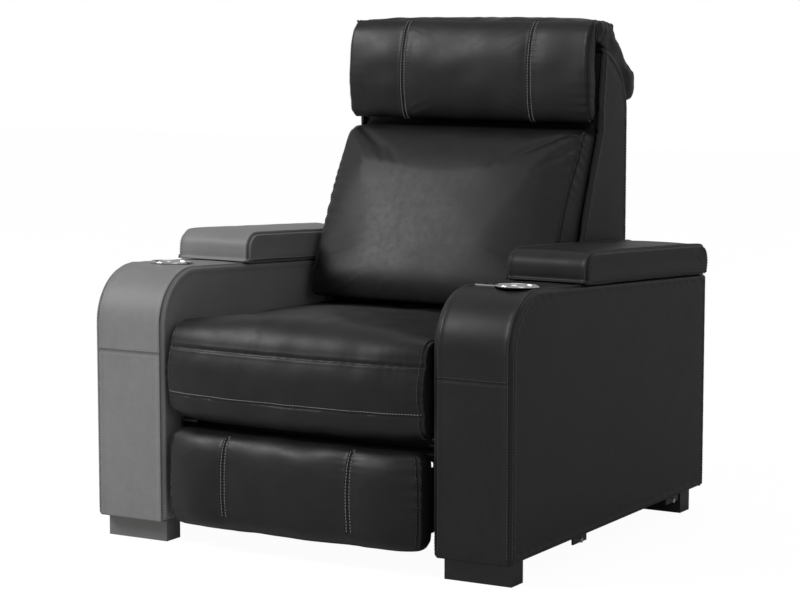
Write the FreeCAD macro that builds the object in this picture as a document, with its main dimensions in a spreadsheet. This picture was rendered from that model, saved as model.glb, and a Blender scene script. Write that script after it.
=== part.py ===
"""Cinema recliner seat with a powered footrest and back, storage arms and a tilting headrest.

Frame: origin on the floor under the middle of the bounding box, +Z up, the sitter faces -Y.
Sizes are millimetres. Distances called setback run backwards from the front face of the arms.
"""
import FreeCAD, Part
import math
import os

import Sketcher

V = FreeCAD.Vector
os.makedirs("parts", exist_ok=True)
doc = FreeCAD.newDocument("CinemaRecliner")

# Driving dimensions, one spreadsheet row each
DIMENSIONS = {
    "seat_gap": 620, "arm_width": 170, "arm_depth": 900, "crown_ahead": 45, "flap_reach": 56,
    "foot_height": 45, "foot_depth": 47, "foot_width": 144, "front_foot_setback": 24,
    "rear_foot_setback": 804,
    "arm_front_height": 562, "arm_rear_height": 510, "nose_radius": 115,
    "panel_thickness": 12, "band_thickness": 12, "board_thickness": 15,
    "bin_rear_gap": 55, "bin_length": 500, "bin_floor_height": 395, "bin_wall": 3, "bin_clearance": 1,
    "cup_bore_radius": 38, "cup_wall": 1.5, "cup_depth": 75, "cup_rim_radius": 43, "cup_rim_thickness": 3,
    "cup_clearance": 0.5, "right_cup_setback": 126, "left_cup_setback": 152, "right_cup_shift": 28,
    "control_length": 56, "control_width": 30, "control_thickness": 2.5, "control_depth": 16,
    "button_radius": 6.2, "button_pitch": 19, "button_length": 12, "button_travel": 1.5,
    "button_clearance": 0.15, "button_rest": 1, "button_edge": 3,
    "lid_setback": 303, "lid_thickness": 66, "lid_overhang": 4, "lid_gap": 2, "lid_board_thickness": 12,
    "lid_board_margin": 10, "lid_tail": 5, "pad_clearance": 0.3,
    "hinge_knuckle_radius": 4, "hinge_pin_radius": 1.8, "hinge_leaf": 1.5, "hinge_width": 80,
    "hinge_reach": 45, "hinge_clearance": 0.25,
    "link_setback": 283, "link_length": 60, "link_plate": 4, "link_drop": 14, "bolt_radius": 4,
    "bolt_head_radius": 6.5, "bolt_head_height": 5, "link_inset": 12,
    "rail_setback": 60, "rail_length": 545, "rail_height": 250, "rail_web": 100, "rail_flange": 40,
    "rail_steel": 5,
    "front_tube_setback": 130, "front_tube_depth": 30, "front_tube_height": 23,
    "rear_tube_setback": 700, "rear_tube_depth": 40, "rear_tube_height": 40, "rear_tube_base": 100,
    "spring_count": 5, "spring_wire": 3.5, "spring_end_gap": 25, "spring_amplitude": 24,
    "spring_turns": 15, "seat_rear_gap": 45, "seat_side_gap": 10, "seat_top_height": 449,
    "seat_crown": 32, "seat_underside_gap": 0.5,
    "linkage_setback": 75, "linkage_height": 225, "drive_link": 165, "lift_link": 135,
    "link_bar_width": 30, "link_bar_steel": 5, "link_bar_gap": 0.5, "linkage_inset": 14,
    "linkage_pin_radius": 5, "pin_clearance": 0.1, "torque_tube_radius": 12.5,
    "crank_radius": 50, "crank_steel": 6, "thrust_crank_radius": 32, "crank_pin_radius": 6,
    "thrust_pin_radius": 4, "slot_clearance": 1.6, "slot_wall": 3,
    "thrust_bar_width": 14, "thrust_bar_inset": 43,
    "actuator_height": 182, "rod_radius": 8, "rod_head_height": 40, "rod_length": 310,
    "housing_setback": 205, "housing_length": 355, "housing_radius": 16, "motor_radius": 21,
    "motor_length": 120, "gearbox_length": 80, "gearbox_width": 60, "gearbox_height": 66,
    "footrest_side_gap": 22, "footrest_base": 45, "footrest_top": 245, "footrest_back": 30,
    "footrest_board_thickness": 12, "footrest_board_margin": 18, "footrest_bracket_top": 207,
    "back_pivot_overhang": 35, "back_pivot_height": 280, "back_pivot_radius": 6,
    "pivot_bracket_length": 80, "pivot_bracket_rise": 30,
    "back_side_gap": 10, "back_rear_setback": 879, "back_top_radius": 146,
    "headrest_height": 850, "post_foot_height": 262, "back_panel_base": 340, "back_side_base": 400,
    "back_board_gap": 79, "back_recline_angle": 40,
    "cushion_base": 452, "cushion_top": 824, "cushion_side_gap": 20, "cushion_crown": 34,
    "pillow_side_gap": 12, "pillow_base": 832, "pillow_depth": 45, "flap_gap": 2,
    "headrest_board_margin": 60, "headrest_board_top": 985, "headrest_stud_radius": 5,
    "headrest_arm_offset": 120, "headrest_steel": 5, "inlet_offset": 130,
}
sheet = doc.addObject("Spreadsheet::Sheet", "Dims")
for row, (alias, size) in enumerate(DIMENSIONS.items(), start=1):
    sheet.set(f"A{row}", alias)
    sheet.set(f"B{row}", str(size))
    sheet.setAlias(f"B{row}", alias)
doc.recompute()


class Size:
    """A number worked out from the spreadsheet together with the expression that binds it."""

    def __init__(self, value, text):
        self.value = value
        self.text = text

    def _join(self, other, sign, value):
        return Size(value, f"({self.text} {sign} {as_size(other).text})")

    def __add__(self, other):
        return self._join(other, "+", self.value + float(other))

    def __sub__(self, other):
        return self._join(other, "-", self.value - float(other))

    def __mul__(self, other):
        return self._join(other, "*", self.value * float(other))

    def __truediv__(self, other):
        return self._join(other, "/", self.value / float(other))

    def __radd__(self, other):
        return as_size(other) + self

    def __rsub__(self, other):
        return as_size(other) - self

    def __rmul__(self, other):
        return as_size(other) * self

    def __neg__(self):
        return Size(-self.value, f"(-{self.text})")

    def __float__(self):
        return float(self.value)


def as_size(number):
    """Return a plain number as a Size, and a Size as it is."""
    return number if isinstance(number, Size) else Size(float(number), f"({float(number)!r})")


class Sheet:
    """Reads a driving dimension by its alias."""

    def __getattr__(self, alias):
        return Size(float(getattr(sheet, alias)), f"Dims.{alias}")


d = Sheet()
exported = []


def bind(obj, prop, size):
    """Bind one property of an object to the spreadsheet."""
    obj.setExpression(prop, as_size(size).text)


def place(obj, x=0, y=0, z=0, turn=None, axis=V(1, 0, 0)):
    """Bind an object's place, and its turn in degrees about an axis."""
    if turn is not None:
        obj.Placement = FreeCAD.Placement(V(), FreeCAD.Rotation(axis, float(turn)))
        bind(obj, "Placement.Rotation.Angle", turn)
    for letter, size in zip("xyz", (x, y, z)):
        bind(obj, f"Placement.Base.{letter}", size)


def keep(obj, node):
    """Name an object as a sub-part that is handed in."""
    obj.Label = node
    exported.append(obj)
    return obj


def box(name, lengths, corner, turn=None):
    """Part::Box with bound lengths, its first corner placed at corner."""
    obj = doc.addObject("Part::Box", name)
    for prop, size in zip(("Length", "Width", "Height"), lengths):
        bind(obj, prop, size)
    place(obj, *corner, turn=turn)
    return obj


AXIS_TURNS = {"x": (90, V(0, 1, 0)), "y": (-90, V(1, 0, 0)), "z": (0, V(0, 0, 1))}


def cylinder(name, radius, length, start, along="x"):
    """Part::Cylinder running from start in the positive direction of one axis."""
    obj = doc.addObject("Part::Cylinder", name)
    bind(obj, "Radius", radius)
    bind(obj, "Height", length)
    turn, axis = AXIS_TURNS[along]
    obj.Placement = FreeCAD.Placement(V(), FreeCAD.Rotation(axis, turn))
    for letter, size in zip("xyz", start):
        bind(obj, f"Placement.Base.{letter}", size)
    return obj


def fuse(name, shapes):
    """One solid of several objects."""
    obj = doc.addObject("Part::MultiFuse", name)
    obj.Shapes = list(shapes)
    return obj


def group(name, shapes):
    """Several separate solids in one object."""
    obj = doc.addObject("Part::Compound", name)
    obj.Links = list(shapes)
    return obj


def cut(name, base, tools):
    """Base without its tools."""
    obj = doc.addObject("Part::Cut", name)
    obj.Base = base
    obj.Tool = tools[0] if len(tools) == 1 else fuse(f"{name}_tools", tools)
    return obj


def sketch(body, name, role, points):
    """Closed sketch of straight lines whose corners are bound to the spreadsheet."""
    outline = body.newObject("Sketcher::SketchObject", name)
    plane = [feature for feature in body.Origin.OriginFeatures if feature.Role == role][0]
    outline.AttachmentSupport = [(plane, "")]
    outline.MapMode = "FlatFace"
    corners = [V(float(u), float(v), 0) for u, v in points]
    for index, corner in enumerate(corners):
        outline.addGeometry(Part.LineSegment(corner, corners[(index + 1) % len(corners)]))
    for index in range(len(corners)):
        outline.addConstraint(Sketcher.Constraint("Coincident", index, 2, (index + 1) % len(corners), 1))
    for index, (u, v) in enumerate(points):
        for kind, size in (("DistanceX", u), ("DistanceY", v)):
            number = outline.addConstraint(Sketcher.Constraint(kind, -1, 1, index, 1, float(size)))
            outline.setExpression(f"Constraints[{number}]", as_size(size).text)
    return outline


def plate(name, points, thickness, x, holes=()):
    """PartDesign plate cut from sheet: outline in the YZ plane, padded along +X from x.

    Each hole is its centre's setback and height with a radius.
    """
    body = doc.addObject("PartDesign::Body", name)
    pad = body.newObject("PartDesign::Pad", f"{name}_pad")
    pad.Profile = sketch(body, f"{name}_outline", "YZ_Plane", points)
    bind(pad, "Length", thickness)
    place(body, x=x)
    if not holes:
        return body
    doc.recompute()
    bores = body.newObject("Sketcher::SketchObject", f"{name}_holes")
    plane = [feature for feature in body.Origin.OriginFeatures if feature.Role == "YZ_Plane"][0]
    bores.AttachmentSupport = [(plane, "")]
    bores.MapMode = "FlatFace"
    for index, (u, v, radius) in enumerate(holes):
        bores.addGeometry(Part.Circle(V(float(u), float(v), 0), V(0, 0, 1), float(radius)))
        limits = (("DistanceX", (-1, 1, index, 3), u), ("DistanceY", (-1, 1, index, 3), v),
                  ("Radius", (index,), radius))
        for kind, target, size in limits:
            number = bores.addConstraint(Sketcher.Constraint(kind, *target, float(size)))
            bores.setExpression(f"Constraints[{number}]", as_size(size).text)
    pocket = body.newObject("PartDesign::Pocket", f"{name}_bores")
    pocket.Profile = bores
    pocket.Reversed = True
    bind(pocket, "Length", thickness)
    return body


def feature(name, shape, placement=None):
    """Part::Feature for a form that no primitive or sketch makes."""
    obj = doc.addObject("Part::Feature", name)
    obj.Shape = shape
    if placement is not None:
        obj.Placement = placement
    return obj


# Places that many pieces share
front = -(d.back_rear_setback + d.flap_reach - d.crown_ahead) / 2
half_gap = d.seat_gap / 2
seat_half_width = half_gap - d.seat_side_gap
back_half_width = half_gap - d.back_side_gap
pillow_half_width = half_gap - d.pillow_side_gap
footrest_half_width = half_gap - d.footrest_side_gap
cushion_half_width = half_gap - d.cushion_side_gap
headrest_board_half_width = half_gap - d.headrest_board_margin
spring_reach = half_gap - d.spring_end_gap
rail_end = d.rail_setback + d.rail_length
back_pivot = rail_end + d.back_pivot_overhang
seat_rear = back_pivot - d.seat_rear_gap
bin_setback = d.arm_depth - d.bin_rear_gap - d.bin_length
arm_slope = (d.arm_front_height - d.arm_rear_height) / d.arm_depth
slope_turn = Size(-math.degrees(math.atan(float(arm_slope))), f"(-atan({arm_slope.text}))")
inner_board = d.panel_thickness
arm_hollow = d.panel_thickness + d.board_thickness
hollow_width = d.arm_width - arm_hollow * 2


def lane(side, near, width):
    """Lowest x of a slab that lies near millimetres beyond an arm's inner face."""
    if side > 0:
        return half_gap + near
    return -(half_gap + near + width)


def mirror_x(side, reach, width):
    """Lowest x of a slab whose far face is reach from the middle plane."""
    return reach - width if side > 0 else -reach


def arm_top(setback):
    """Height of the arm's sloping top at a setback."""
    return d.arm_front_height - arm_slope * setback


def off_top(setback, lift):
    """Y and z of a point that lies lift along the arm top's normal from the top at a setback."""
    return front + setback + arm_slope * lift, arm_top(setback) + lift


def arm_slab(name, inset, base, x, width):
    """Slab in the arm's side outline, drawn in by inset, with the rounded nose."""
    body = doc.addObject("PartDesign::Body", name)
    pad = body.newObject("PartDesign::Pad", f"{name}_pad")
    rear = front + d.arm_depth - inset
    points = [(front + inset, base), (rear, base), (rear, d.arm_rear_height - inset),
              (front + inset, d.arm_front_height - inset)]
    pad.Profile = sketch(body, f"{name}_outline", "YZ_Plane", points)
    bind(pad, "Length", width)
    place(body, x=x)
    doc.recompute()
    nose = [f"Edge{number}" for number, edge in enumerate(pad.Shape.Edges, start=1)
            if edge.BoundBox.YMax < float(front) + float(inset) + 1
            and edge.BoundBox.ZMin > float(d.arm_front_height) - float(inset) - 1]
    fillet = body.newObject("PartDesign::Fillet", f"{name}_nose")
    fillet.Base = (pad, nose)
    bind(fillet, "Radius", d.nose_radius - inset)
    body.Tip = fillet
    return body


# Arms: upholstered side panels, wrapped band, board frame, bin and cup holder
def cup_place(side):
    """Centre of an arm's cup holder as x and setback."""
    middle = half_gap + d.arm_width / 2
    if side > 0:
        return middle + d.right_cup_shift, d.right_cup_setback
    return -middle, d.left_cup_setback


def make_cup(side, word):
    """Turned cup with a rim that lies on the arm's top."""
    x, setback = cup_place(side)
    body = doc.addObject("PartDesign::Body", f"cup_{word}")
    turned = body.newObject("PartDesign::Revolution", f"cup_{word}_turned")
    outer = d.cup_bore_radius + d.cup_wall
    points = [(0, -d.cup_depth), (outer, -d.cup_depth), (outer, 0), (d.cup_rim_radius, 0),
              (d.cup_rim_radius, d.cup_rim_thickness), (d.cup_bore_radius, d.cup_rim_thickness),
              (d.cup_bore_radius, d.cup_wall - d.cup_depth), (0, d.cup_wall - d.cup_depth)]
    outline = sketch(body, f"cup_{word}_outline", "XZ_Plane", points)
    turned.Profile = outline
    turned.ReferenceAxis = (outline, ["V_Axis"])
    turned.Angle = 360
    place(body, x, front + setback, arm_top(setback), turn=slope_turn)
    keep(body, f"cup_holder_{word}")


def cup_tool(side, name, clearance):
    """Cylinder that clears a cup holder's wall, for the holes it drops into."""
    x, setback = cup_place(side)
    obj = doc.addObject("Part::Cylinder", name)
    bind(obj, "Radius", d.cup_bore_radius + d.cup_wall + clearance)
    bind(obj, "Height", d.cup_depth * 2)
    place(obj, x, *off_top(setback, -(d.cup_depth + clearance)), turn=slope_turn)
    return obj


def button_places():
    """Centre x and setback of both control buttons, beside the right cup holder's rim."""
    x, setback = cup_place(1)
    second = x - d.cup_rim_radius - d.button_edge - d.button_radius
    return [(second - d.button_pitch, setback), (second, setback)]


def control_corner():
    """Lowest x and setback of the control plate."""
    (x, setback), second = button_places()
    return x - d.button_radius - d.button_edge * 2, setback - d.control_width / 2


def control_box(name, margin, depth, height):
    """Box around the control plate's switch housing."""
    x, setback = control_corner()
    inset = d.button_edge - margin
    lengths = (d.button_pitch + (d.button_radius + d.button_edge) * 2 + margin * 2,
               d.control_width - inset * 2, height)
    y, z = off_top(setback + inset, -depth)
    return box(name, lengths, (x + inset, y, z), slope_turn)


def make_arm(side, word):
    """Every fixed piece of one arm."""
    width = d.arm_width - d.panel_thickness * 2
    for node, near in (("inner", as_size(0)), ("outer", d.arm_width - d.panel_thickness)):
        panel = arm_slab(f"arm_{node}_{word}", as_size(0), d.foot_height,
                         lane(side, near, d.panel_thickness), d.panel_thickness)
        keep(panel, f"arm_{node}_panel_{word}")
    skin = arm_slab(f"band_skin_{word}", as_size(0), d.foot_height, lane(side, inner_board, width), width)
    core = arm_slab(f"band_core_{word}", d.band_thickness, d.foot_height - d.band_thickness,
                    lane(side, inner_board, width), width)
    mouth_near = arm_hollow + d.bin_clearance + d.bin_wall
    mouth_width = d.arm_width - mouth_near * 2
    mouth = box(f"bin_mouth_{word}", (mouth_width, d.bin_length - d.bin_wall * 2, d.band_thickness * 6),
                (lane(side, mouth_near, mouth_width), front + bin_setback + d.bin_wall,
                 d.arm_rear_height - d.band_thickness * 2))
    tools = [core, mouth, cup_tool(side, f"band_cup_{word}", d.cup_clearance)]
    if side > 0:
        tools.append(control_box("band_control", d.cup_clearance, d.control_depth * 2, d.control_depth * 4))
    keep(cut(f"band_{word}", skin, tools), f"arm_band_{word}")
    make_arm_frame(side, word, width)
    make_bin(side, word)
    make_cup(side, word)


def make_arm_frame(side, word, width):
    """Board box inside an arm: two side boards with a front, a rear and two bottom boards."""
    boards = [arm_slab(f"board_{near.text}_{word}", d.band_thickness, d.foot_height,
                       lane(side, near, d.board_thickness), d.board_thickness)
              for near in (inner_board, d.arm_width - arm_hollow)]
    x = lane(side, arm_hollow, hollow_width)
    first = front + d.band_thickness
    last = front + d.arm_depth - d.band_thickness - d.board_thickness
    low_height = d.arm_rear_height - d.nose_radius - d.foot_height
    boards.append(box(f"front_board_{word}", (hollow_width, d.board_thickness, low_height),
                      (x, first, d.foot_height)))
    boards.append(box(f"rear_board_{word}", (hollow_width, d.board_thickness, low_height),
                      (x, last, d.foot_height)))
    for number, start in enumerate((first, last - d.foot_depth * 2)):
        boards.append(box(f"sill_{number}_{word}",
                          (hollow_width, d.foot_depth * 2 + d.board_thickness, d.board_thickness),
                          (x, start, d.foot_height)))
    frame = fuse(f"frame_boards_{word}", boards)
    keep(cut(f"frame_{word}", frame, [cup_tool(side, f"frame_cup_{word}", d.cup_clearance * 2)]),
         f"arm_frame_{word}")


def make_bin(side, word):
    """Open storage bin hung between the side boards, under the arm's lid."""
    near = arm_hollow + d.bin_clearance
    width = d.arm_width - near * 2
    height = d.arm_rear_height - d.band_thickness * 1.5 - d.bin_floor_height
    shell = box(f"bin_shell_{word}", (width, d.bin_length, height),
                (lane(side, near, width), front + bin_setback, d.bin_floor_height))
    room = box(f"bin_room_{word}", (width - d.bin_wall * 2, d.bin_length - d.bin_wall * 2, height),
               (lane(side, near + d.bin_wall, width - d.bin_wall * 2), front + bin_setback + d.bin_wall,
                d.bin_floor_height + d.bin_wall))
    ledge = box(f"bin_ledge_{word}", (hollow_width, d.board_thickness, d.bin_wall),
                (lane(side, arm_hollow, hollow_width), front + bin_setback - d.board_thickness,
                 d.bin_floor_height + height - d.bin_wall))
    keep(cut(f"bin_{word}", fuse(f"bin_outer_{word}", [shell, ledge]), [room]), f"storage_bin_{word}")


def make_control():
    """Control plate with its switch housing and two push buttons on the right arm."""
    x, setback = control_corner()
    face = box("control_face", (d.control_length, d.control_width, d.control_thickness),
               (x, front + setback, arm_top(setback)), slope_turn)
    housing = control_box("control_housing", as_size(0), d.control_depth, d.control_depth)
    cup_x, cup_setback = cup_place(1)
    rim = doc.addObject("Part::Cylinder", "control_rim_clearance")
    bind(rim, "Radius", d.cup_rim_radius + d.cup_clearance)
    bind(rim, "Height", d.cup_depth)
    place(rim, cup_x, *off_top(cup_setback, -d.cup_depth / 2), turn=slope_turn)
    bores = []
    for number, (button_x, button_setback) in enumerate(button_places()):
        bore = doc.addObject("Part::Cylinder", f"button_bore_{number}")
        bind(bore, "Radius", d.button_radius + d.button_clearance)
        bind(bore, "Height", d.control_depth * 2)
        place(bore, button_x, *off_top(button_setback, -d.control_depth * 0.75), turn=slope_turn)
        bores.append(bore)
        button = doc.addObject("Part::Cylinder", f"button_{number}")
        bind(button, "Radius", d.button_radius)
        bind(button, "Height", d.button_length)
        lift = d.control_thickness + (d.button_travel + d.button_rest) - d.button_length
        place(button, button_x, *off_top(button_setback, lift), turn=slope_turn)
        keep(button, ("recline_button", "return_button")[number])
    keep(cut("control", fuse("control_block", [face, housing]), [rim] + bores), "control_plate")


# Feet, bolts and row link brackets
def make_feet():
    """Block feet under each arm, in a node for each arm."""
    near = (d.arm_width - d.foot_width) / 2
    for side, word in ((1, "right"), (-1, "left")):
        blocks = [box(f"foot_{number}_{word}", (d.foot_width, d.foot_depth, d.foot_height),
                      (lane(side, near, d.foot_width), front + setback, 0))
                  for number, setback in enumerate((d.front_foot_setback, d.rear_foot_setback))]
        keep(group(f"feet_{word}", blocks), f"feet_{word}")


def link_setbacks():
    """Setbacks of the two row link brackets under each arm."""
    return d.link_setback, d.rear_foot_setback - d.link_length - d.board_thickness


def make_links():
    """Angle brackets under the arms' outer edges, where a neighbouring seat's arm is bolted on."""
    angles = []
    bolts = []
    for side, word in ((1, "right"), (-1, "left")):
        plate_near = d.arm_width - d.link_inset - d.link_plate
        for number, setback in enumerate(link_setbacks()):
            upright = box(f"link_{word}_{number}", (d.link_plate, d.link_length, d.link_drop),
                          (lane(side, plate_near, d.link_plate), front + setback,
                           d.foot_height - d.link_drop))
            shelf_width = d.link_inset * 3
            shelf_near = plate_near - shelf_width + d.link_plate
            shelf = box(f"link_shelf_{word}_{number}", (shelf_width, d.link_length, d.link_plate),
                        (lane(side, shelf_near, shelf_width), front + setback, d.foot_height - d.link_plate))
            middle = (front + setback + d.link_length / 2,
                      d.foot_height - d.link_plate - (d.link_drop - d.link_plate) / 2)
            bore = cylinder(f"link_bore_{word}_{number}", d.bolt_radius + d.pin_clearance, d.link_plate * 3,
                            (lane(side, plate_near - d.link_plate, d.link_plate * 3),) + middle)
            angles.append(cut(f"link_angle_{word}_{number}", fuse(f"link_raw_{word}_{number}",
                                                                  [upright, shelf]), [bore]))
            head_near = plate_near + d.link_plate
            head = cylinder(f"link_head_{word}_{number}", d.bolt_head_radius * 0.75, d.bolt_head_height,
                            (lane(side, head_near, d.bolt_head_height),) + middle)
            shank_length = d.link_plate * 3
            shank = cylinder(f"link_shank_{word}_{number}", d.bolt_radius, shank_length + d.bolt_head_height,
                             (lane(side, head_near - shank_length, shank_length + d.bolt_head_height),)
                             + middle)
            bolts.append(fuse(f"link_bolt_{word}_{number}", [head, shank]))
    keep(group("link_angles", angles), "row_link_brackets")
    keep(group("link_bolts", bolts), "row_link_bolts")


# Arm lids with their rear hinges
def lid_place(setback, lift):
    """Place of a lid piece whose local origin lies lift above the arm's top at a setback."""
    return front + setback, arm_top(setback) + lift


def section(start, *steps):
    """Closed wire from start: each step is a point to draw a line to, or an arc's middle and end."""
    edges = []
    here = start
    for step in steps:
        if isinstance(step, tuple):
            through, end = step
            edges.append(Part.Arc(here, through, end).toShape())
        else:
            end = step
            edges.append(Part.makeLine(here, end))
        here = end
    if here.distanceToPoint(start) > 0.001:
        edges.append(Part.makeLine(here, start))
    return Part.Wire(edges)


def loft(wires, ruled=False):
    """Solid through closed wires with the same count of edges, smooth unless ruled."""
    return Part.makeLoft(wires, True, ruled)


def stations(half_width, count=7):
    """Places across a cushion from edge to edge with how far each is drawn in, from 1 to 0."""
    spread = []
    for index in range(count):
        share = -1 + 2 * index / (count - 1)
        place_share = math.copysign(abs(share) ** 0.5, share)
        spread.append((half_width * place_share, place_share ** 6))
    return spread


def lid_pad_shape():
    """Padded lid: rounded front and rear, crowned top, drawn in along both side seams."""
    length = float(d.arm_depth - d.lid_setback - d.lid_tail)
    thickness = float(d.lid_thickness)
    half = float(d.arm_width / 2 + d.lid_overhang)
    lift = float(d.lid_gap) / 2
    nose = thickness / 2
    wires = []
    for x, drawn in stations(half):
        inset = 9 * drawn
        top = thickness - inset
        wires.append(section(
            V(x, inset + nose * 0.5, lift), V(x, length - inset - nose * 0.3, lift),
            (V(x, length - inset, nose * 0.8), V(x, length - inset - nose * 0.8, top - 6)),
            (V(x, length * 0.5, top + 2), V(x, inset + nose, top)),
            (V(x, inset, nose), V(x, inset + nose * 0.5, lift))))
    return loft(wires)


def make_lid(side, word):
    """Lid board, lid pad and the hinge leaf that turns with them."""
    margin = d.lid_board_margin
    board_width = d.arm_width - margin * 2
    board_length = d.arm_depth - d.lid_setback - d.lid_tail - margin * 2
    y, z = lid_place(d.lid_setback, as_size(0))
    board_near = lane(side, margin, board_width)
    board = box(f"lid_board_{word}", (board_width, board_length, d.lid_board_thickness),
                (board_near, y + margin, z + d.lid_gap - arm_slope * margin), slope_turn)
    keep(board, f"lid_board_{word}")
    middle = float(half_gap + d.arm_width / 2) * side
    tilt = FreeCAD.Rotation(V(1, 0, 0), float(slope_turn))
    raw = feature(f"lid_raw_{word}", lid_pad_shape(), FreeCAD.Placement(V(middle, float(y), float(z)), tilt))
    slack = d.pad_clearance
    pocket = box(f"lid_pocket_{word}",
                 (board_width + slack * 2, board_length + slack * 2,
                  d.lid_board_thickness + d.lid_gap + slack),
                 (board_near - slack, y + margin - slack, z - arm_slope * margin), slope_turn)
    strap_width = d.hinge_width / 2 + slack * 4
    strap_room = box(f"lid_strap_room_{word}", (strap_width, d.hinge_reach, d.lid_gap + slack),
                     (lane(side, (d.arm_width - strap_width) / 2, strap_width),
                      front + d.arm_depth - d.hinge_reach, arm_top(d.arm_depth - d.hinge_reach)), slope_turn)
    keep(cut(f"lid_pad_{word}", raw, [pocket, strap_room]), f"lid_pad_{word}")


def hinge_axis():
    """Setback and height of the lid hinges' pins."""
    return (d.arm_depth + d.hinge_clearance + d.hinge_leaf / 2 + d.hinge_knuckle_radius,
            d.arm_rear_height + d.lid_gap / 2)


def make_lid_hinges():
    """Butt hinges behind the arms: fixed leaves with their pins, and a moving leaf on each lid."""
    setback, height = hinge_axis()
    fixed = []
    knuckle = d.hinge_width / 2
    side_knuckle = d.hinge_width / 4 - d.hinge_clearance
    for side, word in ((1, "right"), (-1, "left")):
        near = (d.arm_width - d.hinge_width) / 2
        start = lane(side, near, d.hinge_width)
        leaf = box(f"hinge_leaf_{word}", (d.hinge_width, d.hinge_leaf, d.hinge_reach),
                   (start, front + d.arm_depth + d.hinge_clearance,
                    height - d.hinge_reach - d.hinge_knuckle_radius - d.hinge_clearance))
        ends = [cylinder(f"hinge_end_{number}_{word}", d.hinge_knuckle_radius, side_knuckle,
                         (x, front + setback, height))
                for number, x in enumerate((start, start + d.hinge_width - side_knuckle))]
        webs = [box(f"hinge_web_{number}_{word}",
                    (side_knuckle, d.hinge_leaf, d.hinge_reach / 2),
                    (x, front + d.arm_depth + d.hinge_clearance, height - d.hinge_reach / 2))
                for number, x in enumerate((start, start + d.hinge_width - side_knuckle))]
        pin = cylinder(f"hinge_pin_{word}", d.hinge_pin_radius, d.hinge_width,
                       (start, front + setback, height))
        fixed.append(fuse(f"hinge_fixed_{word}", [leaf, pin] + ends + webs))
        middle = start + d.hinge_width / 4
        strap = box(f"hinge_strap_{word}", (knuckle, d.hinge_reach, d.hinge_leaf),
                    (middle, front + setback - d.hinge_reach,
                     arm_top(setback - d.hinge_reach) + d.hinge_clearance), slope_turn)
        barrel = cylinder(f"hinge_barrel_{word}", d.hinge_knuckle_radius, knuckle,
                          (middle, front + setback, height))
        bore = cylinder(f"hinge_bore_{word}", d.hinge_pin_radius + d.pin_clearance, d.hinge_width,
                        (start, front + setback, height))
        keep(cut(f"hinge_moving_{word}", fuse(f"hinge_raw_{word}", [strap, barrel]), [bore]),
             f"lid_hinge_leaf_{word}")
    keep(group("hinge_bases", fixed), "lid_hinge_bases")


# Seat base: side rails, cross tubes, springs and cushion
def make_base():
    """Steel rails on the arms' inner faces and the tubes that join them."""
    for side, word in ((1, "right"), (-1, "left")):
        web = box(f"rail_web_{word}", (d.rail_steel, d.rail_length, d.rail_web),
                  (mirror_x(side, half_gap, d.rail_steel), front + d.rail_setback,
                   d.rail_height - d.rail_web))
        flange = box(f"rail_flange_{word}", (d.rail_flange, d.rail_length, d.rail_steel),
                     (mirror_x(side, half_gap, d.rail_flange), front + d.rail_setback,
                      d.rail_height - d.rail_steel))
        keep(fuse(f"rail_{word}", [web, flange]), f"side_rail_{word}")
    reach = half_gap - d.rail_steel
    front_tube = box("front_tube", (reach * 2, d.front_tube_depth, d.front_tube_height),
                     (-reach, front + d.front_tube_setback,
                      d.rail_height - d.rail_steel - d.front_tube_height))
    keep(front_tube, "front_cross_tube")
    rear_tube = box("rear_tube", (half_gap * 2, d.rear_tube_depth, d.rear_tube_height),
                    (-half_gap, front + d.rear_tube_setback, d.rear_tube_base))
    keep(rear_tube, "rear_cross_tube")
    back = front + d.rear_tube_setback + d.rear_tube_depth
    shell = box("inlet_shell", (d.bolt_head_radius * 4, d.board_thickness, d.bolt_head_radius * 3),
                (d.inlet_offset, back, d.rear_tube_base + d.rail_steel))
    socket = cylinder("inlet_socket", d.bolt_radius, d.board_thickness,
                      (d.inlet_offset + d.bolt_head_radius * 2, back + d.rail_steel,
                       d.rear_tube_base + d.rail_steel + d.bolt_head_radius * 1.5), along="y")
    keep(cut("inlet", shell, [socket]), "power_inlet")


def ribbon(path, half_width):
    """Closed outline of a flat strip that follows a path of points."""
    left = []
    right = []
    for index, point in enumerate(path):
        before = path[max(index - 1, 0)]
        after = path[min(index + 1, len(path) - 1)]
        arrive = (point - before) if index else (after - point)
        leave = (after - point) if index + 1 < len(path) else arrive
        arrive.normalize()
        leave.normalize()
        first = V(-arrive.y, arrive.x, 0)
        second = V(-leave.y, leave.x, 0)
        mitre = first + second
        mitre.multiply(2 * half_width / mitre.dot(mitre))
        left.append(point + mitre)
        right.append(point - mitre)
    return Part.makePolygon(left + right[::-1] + left[:1])


def make_springs():
    """Sinuous springs across the seat, clipped on the rails' flanges."""
    count = int(float(d.spring_count))
    turns = int(float(d.spring_turns))
    reach = float(spring_reach)
    swing = float(d.spring_amplitude)
    wire = float(d.spring_wire)
    strips = []
    for number in range(count):
        middle = float(front + d.rail_setback) + float(d.rail_length) * (number + 0.6) / (count + 0.2)
        path = [V(-reach, middle, 0)]
        for turn in range(turns):
            x = -reach + 2 * reach * (turn + 0.5) / turns
            side = swing if turn % 2 else -swing
            path.append(V(x - reach / turns * 0.5, middle + side, 0))
            path.append(V(x + reach / turns * 0.5, middle + side, 0))
        path.append(V(reach, middle, 0))
        strip = Part.Face(ribbon(path, wire / 2)).extrude(V(0, 0, wire))
        strips.append(strip)
    springs = feature("springs", Part.makeCompound(strips), FreeCAD.Placement(V(), FreeCAD.Rotation()))
    place(springs, z=d.rail_height)
    keep(springs, "seat_springs")


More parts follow.
